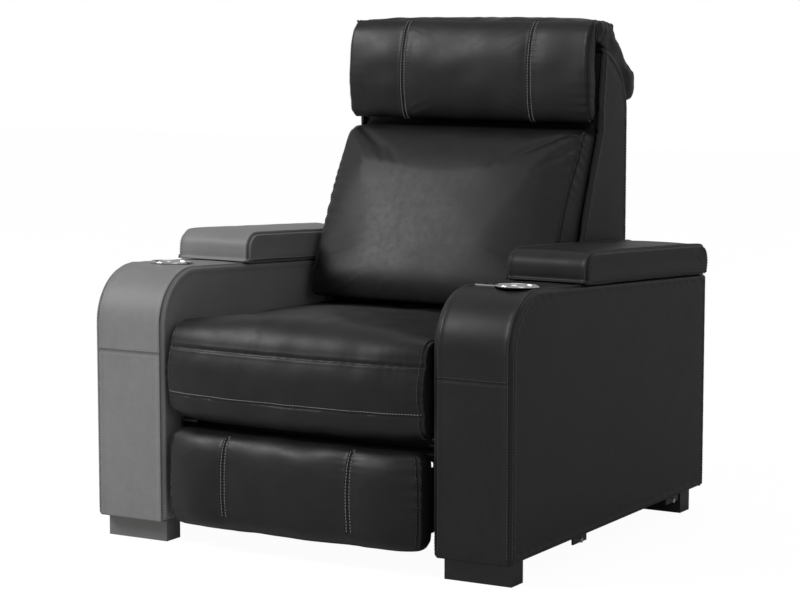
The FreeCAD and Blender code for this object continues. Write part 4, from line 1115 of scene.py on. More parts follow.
@dataclass
class Cushion:
    """A padded piece grown from its solid.

    The node's mesh is copied, drawn in, remeshed into even cells, blown up as cloth whose seam
    lines are held, and its seams are pressed in along its normals.
    """

    node: str
    name: str
    body: Rides
    slot: str
    seams: list[Seam] = field(default_factory=list)
    form: Optional[tuple[Points, Points]] = None
    voxel: float = 6.0
    fair: int = 4
    start_in: float = 4.0
    cap: float = 22.0
    grow: float = 3.0
    pressure: float = 4.0
    fill: float = 0.7
    soft: float = 0.8
    wave: tuple[float, float, float] = (90.0, 90.0, 90.0)
    hold: Optional[Callable[[Points], Points]] = None
    shape: Optional[Callable[[Points], Points]] = None
    seed: int = 3

    def copy(self) -> bpy.types.Object:
        """Copies and merges the node's mesh, or takes the cushion's own form, then remeshes it."""
        mesh = bmesh.new()
        if self.form is None:
            mesh.from_mesh(frame["nodes"][self.node].data)
        else:
            vertices, faces = self.form
            plain = bpy.data.meshes.new("plain")
            plain.from_pydata(vertices.tolist(), [], faces)
            mesh.from_mesh(plain)
            bpy.data.meshes.remove(plain)
        bmesh.ops.remove_doubles(mesh, verts=mesh.verts, dist=0.00002)
        bmesh.ops.recalc_face_normals(mesh, faces=mesh.faces)
        data = bpy.data.meshes.new(self.name)
        mesh.to_mesh(data)
        mesh.free()
        piece = bpy.data.objects.new(self.name, data)
        bpy.context.scene.collection.objects.link(piece)
        if not self.voxel:
            return piece
        remesh = piece.modifiers.new("cells", "REMESH")
        remesh.mode = "VOXEL"
        remesh.voxel_size = self.voxel / MM
        even_cells(piece, self.fair)
        return settle(piece)

    def blow_up(self, piece: bpy.types.Object) -> None:
        """Blows the cushion up as cloth and keeps the result in its mesh.

        Args:
            piece: the remeshed object.
        """
        mesh = piece.data
        rest = corners(mesh)
        start = rest - normals(mesh) * self.start_in / MM
        place_corners(mesh, start)
        held = self.near_seams(rest) < SEAM_HOLD
        if self.hold is not None:
            held |= self.hold(rest)
        group = piece.vertex_groups.new(name="held")
        group.add(np.flatnonzero(held).tolist(), 1.0, "REPLACE")
        cloth = piece.modifiers.new("cloth", "CLOTH")
        settings = cloth.settings
        for key, value in CLOTH.items():
            setattr(settings, key, value)
        settings.uniform_pressure_force = self.pressure
        settings.effector_weights.gravity = 0
        settings.vertex_group_mass = "held"
        cloth.collision_settings.use_collision = False
        scene = bpy.context.scene
        for number in range(1, CLOTH_FRAMES + 1):
            scene.frame_set(number)
        blown = corners(piece.evaluated_get(bpy.context.evaluated_depsgraph_get()).data)
        piece.modifiers.clear()
        piece.vertex_groups.clear()
        scene.frame_set(1)
        move = blown - start
        size = np.linalg.norm(move, axis=1, keepdims=True)
        limit = self.cap / MM
        move *= np.minimum(1, limit / np.maximum(size, 1e-9))
        result = start + move
        over = ((result - rest) * normals(mesh)).sum(1, keepdims=True)
        room = self.grow / MM
        result -= normals(mesh) * np.maximum(over - room, 0)
        place_corners(mesh, result)

    def near_seams(self, points: Points) -> Points:
        """Distance of points to the nearest seam guide, in metres."""
        best = np.full(len(points), 1e9)
        for seam in self.seams:
            found, _ = closest(points, world(even(seam.guide, 4.0)), 0.03)
            best = np.minimum(best, found)
        return best

    def build(self, leather: bpy.types.Material, thread: bpy.types.Material,
              pale: bpy.types.Material) -> bpy.types.Object:
        """Builds the cushion and its thread.

        Args:
            leather: its cover.
            thread: thread of plain seams.
            pale: thread of pale seams.

        Returns:
            The cushion.
        """
        piece = self.copy()
        if self.voxel:
            self.blow_up(piece)
        if self.voxel:
            even_cells(piece, 2)
        finer = piece.modifiers.new("finer", "SUBSURF")
        finer.levels = finer.render_levels = 1
        settle(piece)
        mesh = piece.data
        points = corners(mesh)
        arrows = normals(mesh)
        uneven = ripple(points * MM, self.wave, self.seed) * self.soft / MM
        if self.shape is not None:
            points = points + self.shape(points)
        points = points + arrows * uneven[:, None]
        place_corners(mesh, points)
        tree = search_tree(mesh)
        dark = np.zeros(len(points))
        rows = {True: Stitching(), False: Stitching()}
        lines = [on_surface(tree, world(even(seam.guide, 3.0))) for seam in self.seams]
        for line, _ in lines:
            soften(line, 6)
        arrows = normals(mesh)
        push = np.zeros(len(points))
        for seam, (line, _) in zip(self.seams, lines):
            distance, run = closest(points, line, SEAM_REACH)
            far = distance * MM
            push += seam.groove().height(far)
            push += seam.puckers(run) * np.exp(-far / seam.reach) * (1 - bell(far, seam.width))
            # painted shade in the seam's groove
            dark = np.maximum(dark, bell(far, seam.width * 0.9))
        place_corners(mesh, points + arrows * (push / MM)[:, None])
        paint_seam_shade(piece, dark)
        mesh.polygons.foreach_set("use_smooth", np.ones(len(mesh.polygons), bool))
        tree = search_tree(mesh)
        for seam, (line, up) in zip(self.seams, lines):
            across = np.cross(up, tangents(line))
            for shift in seam.rows:
                spots, arrows = on_surface(tree, line + across * shift / MM)
                rows[seam.pale].row(spots + arrows * THREAD_LIFT, arrows)
        dress(piece, leather, self.body, [self.node])
        sew(f"{self.name}_thread", rows[False], thread, self.body)
        sew(f"{self.name}_pale_thread", rows[True], pale, self.body)
        return piece


def even_cells(piece: bpy.types.Object, times: int) -> None:
    """Adds a modifier that evens the mesh a number of times."""
    even_out = piece.modifiers.new("even", "SMOOTH")
    even_out.factor = 0.5
    even_out.iterations = times


def closest(points: Points, line: Points, reach: float) -> tuple[Points, Points]:
    """Distance to a line's points, and the distance along the line there, for points in its box.

    Args:
        points: array of points.
        line: array of points.
        reach: how far from the line's box a point still counts.

    Returns:
        Distances, large where out of reach, and places along the line.
    """
    inside = np.all((points > line.min(0) - reach) & (points < line.max(0) + reach), axis=1)
    picked = np.flatnonzero(inside)
    distance = np.full(len(points), 1e3)
    place = np.zeros(len(points))
    run = run_of(line)
    for start in range(0, len(picked), 4000):
        part = picked[start:start + 4000]
        gaps = ((points[part, None] - line[None]) ** 2).sum(-1)
        nearest = gaps.argmin(1)
        distance[part] = np.sqrt(gaps[np.arange(len(part)), nearest])
        place[part] = run[nearest]
    return distance, place


def on_surface(tree: BVHTree, line: Points) -> tuple[Points, Points]:
    """Nearest points of a mesh to a line, with the normals there."""
    found = [tree.find_nearest(Vector(point)) for point in line.tolist()]
    places, arrows = (np.array([hit[part] for hit in found], float).reshape(-1, 3)
                      for part in (0, 1))
    soften(arrows, 3)
    return places, arrows / np.maximum(np.linalg.norm(arrows, axis=1, keepdims=True), 1e-9)


def lofted(rings: Points) -> tuple[Points, list[list[int]]]:
    """Closed form through rings of equal counts, with a cap of quads across each end.

    Args:
        rings: array of rings by points by x, setback and height.

    Returns:
        Vertices in metres and faces.
    """
    count, around = rings.shape[:2]
    number = np.arange(count * around).reshape(count, around)
    near = np.arange(around // 2 - 1)
    cap = np.stack([near, near + 1, around - 2 - near, around - 1 - near], -1)
    caps = number[0][cap].tolist() + number[-1][cap[:, ::-1]].tolist()
    return world(rings).reshape(-1, 3), tube_faces(count, around).tolist() + caps


def curve(points: Sequence[tuple[float, float]], count: int = 150) -> Points:
    """Smooth closed curve through points, as a count of even steps.

    It joins cubic pieces, each in its own share of the way from one point to the next, whose
    slope at a point is half the step between the point's neighbours.
    """
    fixed = np.array(points, float)
    before, after, beyond = (np.roll(fixed, shift, axis=0) for shift in (1, -1, -2))
    t = np.linspace(0, 1, 24, endpoint=False)[None, :, None]
    a, b, c, e = (part[:, None] for part in (before, fixed, after, beyond))
    smooth = 0.5 * (2 * b + (c - a) * t + (2 * a - 5 * b + 4 * c - e) * t ** 2
                    + (3 * b - a - 3 * c + e) * t ** 3)
    path = np.concatenate([smooth.reshape(-1, 2), fixed[:1]])
    run = run_of(path)
    return at_run(np.linspace(0, run[-1], count + 1)[:-1], run, path)


def rounded(half: float, ring_at: Callable[[float], Points], radius: float, bulge: float) -> Points:
    """Rings of a cushion from side to side whose edges are rounded.

    Near an end each ring is drawn in by r less the root of r squared less the square of the way in
    to the rounding, along its own normals, and a last ring stands out by the bulge.

    Args:
        half: half the cushion's width.
        ring_at: closed side view at an x.
        radius: r, the rounding.
        bulge: how far the ends swell out.

    Returns:
        Array of rings by points by x, setback and height.
    """
    near = half - radius * (1 - np.sin(np.linspace(0, math.pi / 2, 8)))
    places = np.concatenate([np.linspace(0, half - radius, 16)[:-1], near])
    rings = []
    for x in np.concatenate([-places[:0:-1], places]):
        into = np.clip((abs(x) - half + radius) / radius, 0, 1)
        ring = shrunk(ring_at(x), radius * (1 - math.sqrt(max(0.0, 1 - into ** 2))))
        rings.append(np.column_stack([np.full(len(ring), x), ring]))
    for sign, place in ((-1, 0), (1, len(rings) + 1)):
        ring = shrunk(ring_at(sign * half), radius + 1.5)
        rings.insert(place, np.column_stack([np.full(len(ring), sign * (half + bulge)), ring]))
    return np.array(rings)


def shrunk(ring: Points, depth: float) -> Points:
    """A closed side view drawn in by a depth along its normals."""
    along = np.roll(ring, -1, axis=0) - np.roll(ring, 1, axis=0)
    along /= np.maximum(np.linalg.norm(along, axis=1, keepdims=True), 1e-9)
    inward = np.stack([-along[:, 1], along[:, 0]], -1)
    area = (ring[:, 0] * np.roll(ring[:, 1], -1) - np.roll(ring[:, 0], -1) * ring[:, 1]).sum()
    return ring + inward * depth * np.sign(area)


def across(half: float, setback: Callable[[Points], Points],
           height: Callable[[Points], Points]) -> Points:
    """Seam guide from side to side: x from minus half to half, with setback and height of x."""
    x = np.linspace(-half, half, 121)
    return np.stack([x, setback(x) + 0 * x, height(x) + 0 * x], -1)


def profile(x: float, path: Points) -> Points:
    """Seam guide along a side view path at one x."""
    return np.concatenate([np.full((len(path), 1), x), path], -1)


# The seat's own parts


@dataclass
class CupHolder:
    """Pressed cup with a rolled chrome lip, turned about its own axis."""

    bore: float = 38.0
    wall: float = 1.5
    rim: float = 43.6
    lip: float = 5.2
    depth: float = 75.0
    sides: int = 96

    def turned(self, name: str, outline: Sequence[tuple[float, float]], centre: Points,
               axes: Points) -> bpy.types.Object:
        """Turns a closed outline of radius and height about the axis.

        Args:
            name: the object's name.
            outline: points of radius over 0 and height over the arm's top.
            centre: the axis on the arm's top.
            axes: unit vectors across, ahead and up.

        Returns:
            The ring.
        """
        line = np.array(outline, float)
        angle = 2 * math.pi * np.arange(self.sides) / self.sides
        ring = axes[0] * np.cos(angle)[:, None] + axes[1] * np.sin(angle)[:, None]
        points = centre + ring[:, None] * line[None, :, :1] + axes[2] * line[None, :, 1:]
        number = np.arange(self.sides * len(line)).reshape(self.sides, len(line))
        beside, above = np.roll(number, -1, axis=0), np.roll(number, -1, axis=1)
        both = np.roll(beside, -1, axis=1)
        faces = np.stack([number, beside, both, above], -1).reshape(-1, 4)
        piece = make_object(name, world(points), faces)
        face_out(piece)
        return piece

    def build(self, side: Side, centre: Points, axes: Points, finishes: Finishes) -> None:
        """Builds the lip and the dark liner of one arm's cup; the liner is a real part, and its
        near-black tone is painted shade.
        """
        bore, rim, lip = self.bore, self.rim, self.lip
        inner, outer = bore + 0.1, bore + 1.4
        roll = [(rim, 0.2), (rim, lip * 0.45), (rim - 0.8, lip * 0.8), (rim - 2.2, lip),
                (rim - 3.6, lip * 0.92), (bore + 0.9, lip * 0.6), (inner, lip * 0.1),
                (inner, -6.0), (outer, -6.0), (outer, 0.2)]
        ring = self.turned(f"cup_lip_{side.word}", roll, centre, axes)
        dress(ring, finishes.chrome, Rides.BASE, [f"cup_holder_{side.word}"])
        under = -self.depth - self.wall
        cup = [(inner, -6.1), (inner, -self.depth), (0.5, -self.depth), (0.5, under),
               (outer, under), (outer, -6.1)]
        liner = self.turned(f"cup_liner_{side.word}", cup, centre, axes)
        sharp = np.zeros(len(liner.data.polygons), bool)
        liner.data.polygons.foreach_set("use_smooth", sharp)
        # the liner's near-black finish is painted shade inside the cup
        dress(liner, finishes.shade, Rides.BASE, [f"cup_holder_{side.word}"])


@dataclass
class Arms:
    """Both arms: bands, side panels, lids, cup lips and thread."""

    gap: float = 310.0
    width: float = 170.0
    seam_height: float = 387.0
    cup_bore: float = 40.5
    plate_lap: float = 3.4
    cups: dict[Side, tuple[float, float]] = field(
        default_factory=lambda: {Side.RIGHT: (423.0, 126.0), Side.LEFT: (-395.0, 152.0)})
    lid_start: float = 303.0
    lid_length: float = 592.0
    lid_thickness: float = 66.0
    lid_overhang: float = 4.0

    def box(self, side: Side) -> ArmBox:
        """The boxed shape of one arm."""
        low, high = sorted((side.value * self.gap, side.value * (self.gap + self.width)))
        return ArmBox(low=low, high=high, cross_seams=(self.seam_height - ArmBox.base,),
                      seed=4 if side is Side.RIGHT else 9)

    def cup_place(self, side: Side, arm: ArmBox) -> tuple[Points, Points]:
        """The cup's centre on the arm's top, and its axes across, ahead and up."""
        x, setback = self.cups[side]
        lift = math.hypot(1, arm.slope)
        axes = np.array([[1.0, 0.0, 0.0], [0.0, 1.0 / lift, -arm.slope / lift],
                         [0.0, arm.slope / lift, 1.0 / lift]])
        return np.array([x, setback, arm.front_height - arm.slope * setback]), axes

    def cut_openings(self, side: Side, band: bpy.types.Object, arm: ArmBox) -> None:
        """Cuts the cup's hole and the buttons' slot through the band.

        Args:
            side: the arm.
            band: its band.
            arm: its shape.
        """
        turn = 2 * math.pi * np.arange(72) / 72
        centre, axes = self.cup_place(side, arm)
        up = axes[2]
        ring = (axes[0] * np.cos(turn)[:, None] + axes[1] * np.sin(turn)[:, None]) * self.cup_bore
        tools = [self.prism("cup_tool", centre + ring, up)]
        if side is Side.RIGHT:
            low, high = (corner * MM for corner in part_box("control_plate"))
            left, right = low.x + self.plate_lap, high.x - self.plate_lap
            near, far = low.y - FRONT + self.plate_lap, high.y - FRONT - self.plate_lap
            rim = ((left, near), (right, near), (right, far), (left, far))
            points = np.array([[x, setback, arm.front_height - arm.slope * setback]
                               for x, setback in rim])
            tools.append(self.prism("control_tool", points, up))
        for tool in tools:
            cutter = band.modifiers.new("hole", "BOOLEAN")
            cutter.operation = "DIFFERENCE"
            cutter.solver = "EXACT"
            cutter.object = tool
        settle(band)
        for tool in tools:
            bpy.data.objects.remove(tool)

    def prism(self, name: str, ring: Points, up: Points, reach: float = 30.0) -> bpy.types.Object:
        """Closed prism over a ring of points, up and down by reach."""
        count = len(ring)
        number = np.arange(count)
        ends = [number[::-1].tolist(), (number + count).tolist()]
        tool = make_object(name, world(np.concatenate([ring - up * reach, ring + up * reach])),
                           tube_faces(2, count).tolist() + ends, False)
        face_out(tool)
        return tool

    def lid_side(self, x: float) -> Points:
        """Closed side view of the lid, level, with its crown at an x from its middle."""
        crown = 3.5 * (1 - (x / (self.width / 2 + self.lid_overhang)) ** 2)
        length, top = self.lid_length, self.lid_thickness - 2.5
        return curve([(12, 1.2), (2, 8), (0.5, 24), (3, 42), (14, top - 8),
                      (34, top - 1 + crown * 0.5), (110, top + crown), (300, top + crown),
                      (480, top + crown), (558, top - 1),
                      (length - 12, top - 10), (length - 2, top - 28), (length - 1, 22),
                      (length - 5, 6), (length - 16, 1.2), (400, 1.2), (200, 1.2)], 260)

    def lid(self, side: Side, arm: ArmBox) -> Cushion:
        """The padded lid of one arm."""
        lift = math.hypot(1, arm.slope)
        start = np.array([self.lid_start, arm.front_height - arm.slope * self.lid_start])

        def laid(points: Points) -> Points:
            """Turns level points along and over the lid to the arm's slope."""
            return (start + points[..., :1] * np.array([1.0, -arm.slope]) / lift
                    + points[..., 1:] * np.array([arm.slope, 1.0]) / lift)

        middle = side.value * (self.gap + self.width / 2)
        half = self.width / 2 + self.lid_overhang
        rings = rounded(half, self.lid_side, 6.0, 0.4)
        rings = np.concatenate([rings[..., :1] + middle, laid(rings[..., 1:])], -1)
        edge = shrunk(self.lid_side(half), 2.0)
        over = np.roll(edge, -4, axis=0)
        over = laid(over[over[:, 1] > 3.5])
        seams = [Seam(profile(middle + outward * (half - 2.5), over), depth=2.6, width=2.6, lip=0.9,
                      pucker=0.08, wave=19.0, reach=9.0, rows=(5.5, -5.5), seed=5 + outward)
                 for outward in (1, -1)]
        return Cushion(f"lid_pad_{side.word}", f"lid_cover_{side.word}", Rides(f"lid_{side.word}"),
                       side.slot, seams, form=lofted(rings), voxel=0.0, soft=0.4, fill=0.95,
                       seed=12 + side.value)

    def build(self, finishes: Finishes) -> None:
        """Builds both arms."""
        for side in Side:
            word = side.word
            arm = self.box(side)
            leather, thread, slot = finishes.leather(side), finishes.thread(side), side.slot
            band = arm.band(f"arm_band_cover_{word}")
            self.cut_openings(side, band, arm)
            CupHolder().build(side, *self.cup_place(side, arm), finishes)
            dress(band, leather, Rides.BASE, [f"arm_band_{word}"])
            for name, outward in (("outer", side.value), ("inner", -side.value)):
                panel = arm.panel(f"arm_{name}_cover_{word}", outward)
                dress(panel, leather, Rides.BASE, [f"arm_{name}_panel_{word}"])
            stitching = Stitching()
            arm.seam_rows(stitching)
            sew(f"arm_thread_{word}", stitching, thread, Rides.BASE)
            self.lid(side, arm).build(leather, thread, thread)


@dataclass
class Seat:
    """Seat cushion and footrest cushion."""

    half: float = 300.0
    base: float = 254.0
    top: float = 449.0
    ahead: float = 45.0
    footrest_half: float = 288.0
    footrest_base: float = 45.0
    footrest_top: float = 245.0

    def face(self, x: Points) -> Points:
        """Setback of the seat's front at an x."""
        share = np.abs(x / self.half)
        return -self.ahead + 17 * share ** 2 + 14 * share ** 12

    def cushion(self) -> Cushion:
        """The seat cushion with its cross seams and end seams."""
        low, high = self.base + 59, self.base + 156
        end = self.half - 8
        face = float(self.face(np.array(end)))
        crown = self.top - 2
        side = trace((face + 43, self.base + 5), ((face + 14, self.base + 24), (face + 8, low)),
                     ((face, low + 50), (face + 13, high)),
                     ((face + 22, high + 32), (face + 95, crown)), (420.0, crown))
        seams = [
            Seam(across(self.half - 5, lambda x: self.face(x) + 8, lambda x: low), depth=3.2,
                 rows=(4.0,), pale=True, pucker=0.25, wave=21.0, seed=1),
            Seam(across(self.half - 5, lambda x: self.face(x) + 13, lambda x: high), depth=3.4,
                 rows=(-4.0,), pucker=0.28, wave=23.0, reach=16.0, seed=2),
            Seam(profile(end, side), depth=2.8, pucker=1.0, wave=19.0, rows=(4.5,), seed=3),
            Seam(profile(-end, side), depth=2.8, pucker=1.0, wave=19.0, rows=(-4.5,), seed=4)]

        def hidden(points: Points) -> Points:
            """Whether points are under the seat, at its rear or on its sides."""
            return ((points[:, 2] < 0.262) | (points[:, 1] > 0.0) | (np.abs(points[:, 0]) > 0.297))

        return Cushion("seat_cushion", "seat_cover", Rides.BASE, "black_leather", seams, voxel=7.0,
                       fair=12, start_in=4.0, cap=22.0, grow=4.0, soft=1.2, hold=hidden, fill=0.8,
                       seed=21)

    def footrest(self) -> Cushion:
        """The footrest cushion with its two upright channels."""
        height = np.linspace(self.footrest_base + 34, self.footrest_top - 2, 60)
        seams = []
        for sign in (1, -1):
            x = np.full(len(height), sign * self.footrest_half / 2)
            setback = -self.ahead + 7 + 20 * np.clip((height - 200) / 45, 0, 1) ** 2
            seams.append(Seam(np.stack([x, setback, height], -1), depth=3.4, width=3.0, lip=0.8,
                              pucker=0.5, wave=16.0, rows=(4.5, -4.5), pale=True, seed=6 + sign))
            upright = np.linspace(self.footrest_base + 8, self.footrest_top - 8, 60)
            edge = np.full(len(upright), sign * (self.footrest_half - 6))
            seams.append(Seam(np.stack([edge, np.full(len(upright), -8.0), upright], -1),
                              depth=3.0, pucker=1.6, wave=21.0, reach=24.0, rows=(4.5,),
                              seed=9 + sign))

        def wrapped(points: Points) -> Points:
            """Moves the ends out and their rear edge back, where the cover wraps the board."""
            end = np.clip((np.abs(points[:, 0]) - 0.24) / 0.045, 0, 1) ** 2
            rear = np.clip(setback_of(points) / 25, 0, 1)
            return np.stack([np.sign(points[:, 0]) * end * 0.006, end * rear * 0.009, 0 * end], -1)

        def hidden(points: Points) -> Points:
            """Whether points are at the footrest's back or ends."""
            return (setback_of(points) > 20) | (np.abs(points[:, 0]) > 0.286)

        return Cushion("footrest_cushion", "footrest_cover", Rides.FOOTREST, "black_leather", seams,
                       voxel=6.5, fair=8, start_in=3.0, cap=22.0, grow=4.0, soft=1.0, hold=hidden,
                       shape=wrapped, fill=0.75, seed=31)

    def build(self, finishes: Finishes) -> None:
        """Builds both cushions."""
        for cushion in (self.cushion(), self.footrest()):
            cushion.build(finishes.black, finishes.dark_thread, finishes.pale_thread)


@dataclass
class Back:
    """Back cushion, headrest pillow, flap and the upholstered sides and rear."""

    half: float = 300.0
    cushion_half: float = 290.0
    cushion_base: float = 452.0
    cushion_top: float = 824.0
    crown: float = 34.0
    pillow_half: float = 298.0
    pivot_setback: float = 733.0
    pivot_height: float = 850.0

    def cushion(self) -> Cushion:
        """The back cushion with its front edge seams."""
        base, top = self.cushion_base, self.cushion_top
        inset = 26.0
        edge = trace((520 + inset, base + 8), ((500 + inset, base + 70), (547 + inset, top - 234)),
                     ((588 + inset, top - 140), (645 + inset, top - 50)),
                     ((668 + inset, top - 14), (690 + inset * 0.6, top - 6)))
        seams = [Seam(profile(sign * (self.cushion_half - 5), edge), depth=3.2, pucker=1.5,
                      wave=22.0, reach=26.0, seed=14 + sign) for sign in (1, -1)]

        def side_view(x: float) -> Points:
            """Closed side view of the back cushion at an x."""
            swell = self.crown * (1 - abs(x / self.cushion_half) ** 2.4)
            return curve([(786, base + 6), (786, top - 4), (735, top - 3), (692, top - 2),
                          (662 - swell * 0.5, top - 14), (636 - swell * 0.9, top - 58),
                          (594 - swell, top - 140), (550 - swell, top - 234),
                          (517 - swell, top - 305), (505 - swell * 0.8, base + 34),
                          (505 - swell * 0.7, base + 9),
                          (522 - swell * 0.5, base), (600, base), (700, base)])

        def hidden(points: Points) -> Points:
            """Whether points are at the cushion's rear, sides or foot."""
            rear = setback_of(points) > 700
            return rear | (np.abs(points[:, 0]) > 0.289) | (points[:, 2] < 0.46)

        rings = rounded(self.cushion_half + 1, side_view, 22.0, 0.0)
        return Cushion("back_cushion", "back_cover", Rides.BACK, "black_leather", seams,
                       form=lofted(rings), voxel=7.0,
                       start_in=4.0, cap=24.0, grow=3.0, soft=0.7, wave=(150.0, 150.0, 150.0),
                       hold=hidden, fill=0.75, seed=41)

    def pillow(self) -> Cushion:
        """The headrest pillow with two upright seams and end seams."""
        y, z = self.pivot_setback, self.pivot_height
        upright = 155.0

        def side_view(x: float) -> Points:
            """Closed side view of the pillow at an x, drawn in at the two upright seams."""
            drawn_in = float(bell(abs(x) - upright, 16.0))
            swell = 5.0 * (1 - abs(x / self.pillow_half) ** 4) - 5.0 * drawn_in
            return curve([(y - 1, z + 24), (y - 1, z + 120), (y - 1, z + 198),
                          (y - 14, z + 197 + swell * 0.4), (y - 29 - swell * 0.4, z + 178),
                          (y - 40 - swell, z + 140), (y - 45 - swell, z + 90),
                          (y - 43 - swell, z + 36), (y - 36 - swell * 0.6, z - 2),
                          (y - 22, z - 18), (y - 9, z - 13)])

        seams = []
        for sign in (1, -1):
            for x, inner in ((sign * upright, 0.0), (sign * (self.pillow_half - 4), 5.0)):
                ring = shrunk(side_view(x), inner)
                front = np.roll(ring, -np.argmax(ring[:, 1]), axis=0)
                front = front[(front[:, 0] < y - 6) & (front[:, 1] > z - 17)]
                end = inner > 0
                if end:
                    seam = Seam(profile(x, front), depth=2.6, width=3.0, lip=0.8, pucker=0.9,
                                wave=24.0, reach=20.0, rows=(4.5 * sign,), seed=int(x))
                else:
                    seam = Seam(profile(x, front), depth=3.2, width=3.0, lip=0.8, pucker=0.3,
                                wave=14.0, reach=12.0, pale=True, seed=int(x))
                seams.append(seam)

        def hidden(points: Points) -> Points:
            """Whether points are at the pillow's rear or ends."""
            return (setback_of(points) > y - 8) | (np.abs(points[:, 0]) > 0.2965)

        return Cushion("headrest_pillow", "pillow_cover", Rides.HEADREST, "black_leather", seams,
                       form=lofted(rounded(self.pillow_half, side_view, 12.0, 0.0)), voxel=6.0,
                       start_in=3.0, cap=22.0, grow=3.0, soft=1.0, hold=hidden, fill=0.8,
                       seed=51)

    def flap(self) -> Cushion:
        """The padded flap over the shoulder."""
        y, z = self.pivot_setback, self.pivot_height
        reach, low = 212.0, math.radians(22)
        outline = trace((y + 3, z + 203),
                        ((y + reach * 0.4, z + 201), (y + reach * 0.78, z + reach * 0.64)),
                        (y + reach * 0.97, z + reach * math.sin(low)))
        seams = [Seam(profile(sign * (self.pillow_half - 14), outline), depth=2.4, pucker=1.6,
                      wave=26.0, reach=22.0, rows=(), seed=22 + sign) for sign in (1, -1)]
        return Cushion("headrest_flap", "flap_cover", Rides.HEADREST, "black_leather", seams,
                       voxel=6.5, fair=6, start_in=1.0, cap=10.0, grow=2.0, soft=1.6,
                       wave=(70.0, 60.0, 60.0), fill=0.5, pressure=3.0, seed=61)

    def build(self, finishes: Finishes) -> None:
        """Builds the back and the headrest."""
        for cushion in (self.cushion(), self.pillow(), self.flap()):
            cushion.build(finishes.black, finishes.dark_thread, finishes.pale_thread)
        box = BackBox(low=-self.half, high=self.half, seed=17, wall=9.0)
        rear = box.band("back_rear_cover")
        dress(rear, finishes.black, Rides.BACK, ["back_rear_panel"])
        for side in Side:
            panel = box.panel(f"back_side_cover_{side.word}", side.value)
            dress(panel, finishes.black, Rides.BACK,
                  [f"back_side_panel_{side.word}"])
        stitching = Stitching()
        box.seam_rows(stitching, 30.0, 12.0)
        sew("back_thread", stitching, finishes.dark_thread, Rides.BACK)


@dataclass
class Hardware:
    """Frame nodes that show their own solids: each gets its finish."""

    finishes: Finishes

    def finish_of(self, node: str) -> bpy.types.Material:
        """The finish of a node, from its name."""
        kinds = (
            (("cup_holder", "control_plate"), self.finishes.chrome),
            (("recline_button", "return_button", "storage_bin", "power_inlet"),
             self.finishes.plastic),
            (("feet_left",), self.finishes.grey_foot),
            (("feet_right",), self.finishes.black_foot),
            (("lid_board_left",), self.finishes.grey_lining),
            (("lid_board_right", "back_post", "back_board"), self.finishes.lining),
            (("arm_frame", "footrest_board"), self.finishes.wood),
            (("row_link_bolts", "pivot_bolts", "actuator_rod"), self.finishes.zinc),
            (("seat_springs",), self.finishes.spring),
        )
        for words, finish in kinds:
            if node.startswith(words):
                return finish
        return self.finishes.coat

    def build(self) -> None:
        """Dresses every node of the frame."""
        for node, piece in frame["nodes"].items():
            piece.data.materials.clear()
            piece.data.materials.append(self.finish_of(node))


# Studio


@dataclass(frozen=True)
class Lamp:
    """Soft area lamp that looks at the seat."""

    name: str
    place: tuple[float, float, float]
    aim: tuple[float, float, float]
    size: float
    power: float

    def make(self) -> None:
        """Adds the lamp."""
        data = bpy.data.lights.new(self.name, "AREA")
        data.shape = "DISK"
        data.size = self.size
        data.energy = self.power
        lamp = bpy.data.objects.new(self.name, data)
        lamp.location = self.place
        lamp.rotation_mode = "QUATERNION"
        lamp.rotation_quaternion = (Vector(self.aim) - Vector(self.place)).to_track_quat("-Z", "Y")
        bpy.context.scene.collection.objects.link(lamp)


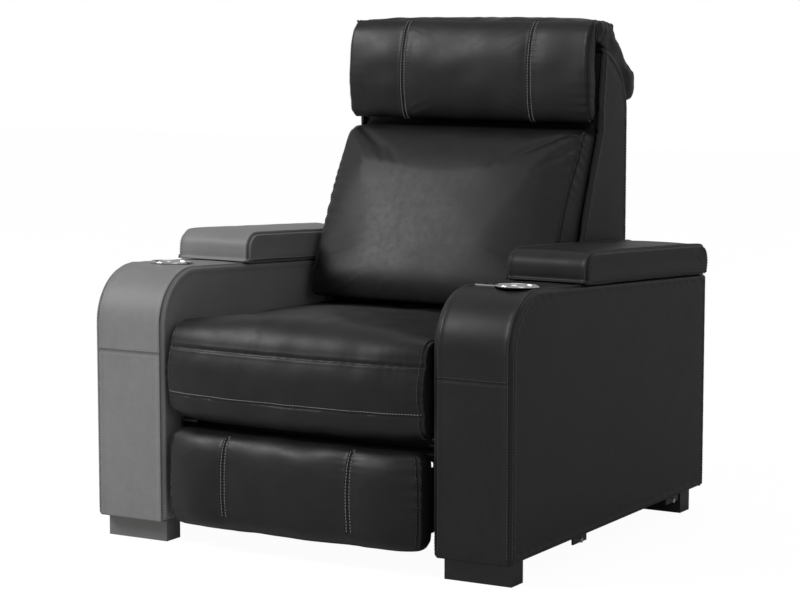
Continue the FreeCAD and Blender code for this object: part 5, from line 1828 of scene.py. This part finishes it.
@dataclass
class Studio:
    """Pale floor, white world, soft lamps and the camera of the photograph."""

    azimuth: float = 30.16
    elevation: float = 7.04
    lens: float = 111.2
    eye: tuple[float, float, float] = (2.5636, -4.44499, 1.1037)
    world_light: float = 0.24
    lamps: tuple[Lamp, ...] = (
        Lamp("key", (-2.6, -2.4, 2.9), (0.0, 0.0, 0.5), 1.5, 98.0),
        Lamp("fill", (3.2, -2.8, 1.8), (0.0, 0.0, 0.5), 2.2, 14.0),
        Lamp("top", (0.1, 0.6, 3.6), (0.0, 0.0, 0.6), 1.6, 8.0),
    )

    def camera(self) -> None:
        """Adds the camera."""
        data = bpy.data.cameras.new("camera")
        data.lens = self.lens
        data.sensor_width = 36.0
        data.clip_start = 0.1
        data.clip_end = 100.0
        camera = bpy.data.objects.new("camera", data)
        camera.location = self.eye
        turn, rise = math.radians(self.azimuth), math.radians(self.elevation)
        level = math.cos(rise)
        ahead = Vector((-math.sin(turn) * level, math.cos(turn) * level, -math.sin(rise)))
        camera.rotation_mode = "QUATERNION"
        camera.rotation_quaternion = ahead.to_track_quat("-Z", "Y")
        bpy.context.scene.collection.objects.link(camera)
        bpy.context.scene.camera = camera

    def floor(self) -> None:
        """Adds the pale floor: white where lit, with the seat's soft shadow."""
        half = 12.0
        rim = [[-half, -half, 0], [half, -half, 0], [half, half, 0], [-half, half, 0]]
        floor = make_object("floor", np.array(rim), [[0, 1, 2, 3]], False)
        palette = Palette("floor_finish")
        rays = palette.add("ShaderNodeLightPath", output="Is Camera Ray")
        grain = palette.noise(40.0, 2.0)
        pale = palette.blend(grain, (0.78, 0.78, 0.78, 1.0), (0.80, 0.80, 0.80, 1.0))
        matte = palette.add("ShaderNodeBsdfDiffuse", {}, {"Color": pale})
        glow = palette.add("ShaderNodeEmission", {},
                           {"Color": (1.0, 1.0, 1.0, 1.0), "Strength": 1.12})
        mixed = palette.add("ShaderNodeMixShader", {}, {0: rays * 0.86, 1: matte, 2: glow})
        palette.add("ShaderNodeOutputMaterial", {}, {"Surface": mixed})
        floor.data.materials.append(palette.material)

    def sky(self) -> None:
        """Sets the world: plain light on the seat, white where it is seen or mirrored."""
        room = bpy.data.worlds.new("room")
        bpy.context.scene.world = room
        room.use_nodes = True
        tree = room.node_tree
        tree.nodes.clear()
        path = tree.nodes.new("ShaderNodeLightPath")
        seen = Ink(tree, path.outputs["Is Camera Ray"])
        mirrored = Ink(tree, path.outputs["Is Glossy Ray"])
        through = Ink(tree, path.outputs["Is Transmission Ray"])
        white = seen.math("MAXIMUM", seen, through)
        strength = self.world_light + white * (1.0 - self.world_light) + mirrored * 0.25
        glow = tree.nodes.new("ShaderNodeBackground")
        glow.inputs["Color"].default_value = (1.0, 1.0, 1.0, 1.0)
        tree.links.new(strength.socket, glow.inputs["Strength"])
        out = tree.nodes.new("ShaderNodeOutputWorld")
        tree.links.new(glow.outputs[0], out.inputs["Surface"])

    def build(self) -> None:
        """Builds the studio."""
        self.camera()
        self.floor()
        self.sky()
        for lamp in self.lamps:
            lamp.make()
        bpy.context.scene.view_settings.view_transform = "Standard"


def main() -> None:
    """Builds the seat's pieces in order."""
    logging.basicConfig(level=logging.INFO, format="%(message)s")
    Studio().build()
    finishes = Finishes()
    Hardware(finishes).build()
    Arms().build(finishes)
    Seat().build(finishes)
    Back().build(finishes)


if __name__ == "__main__":
    main()
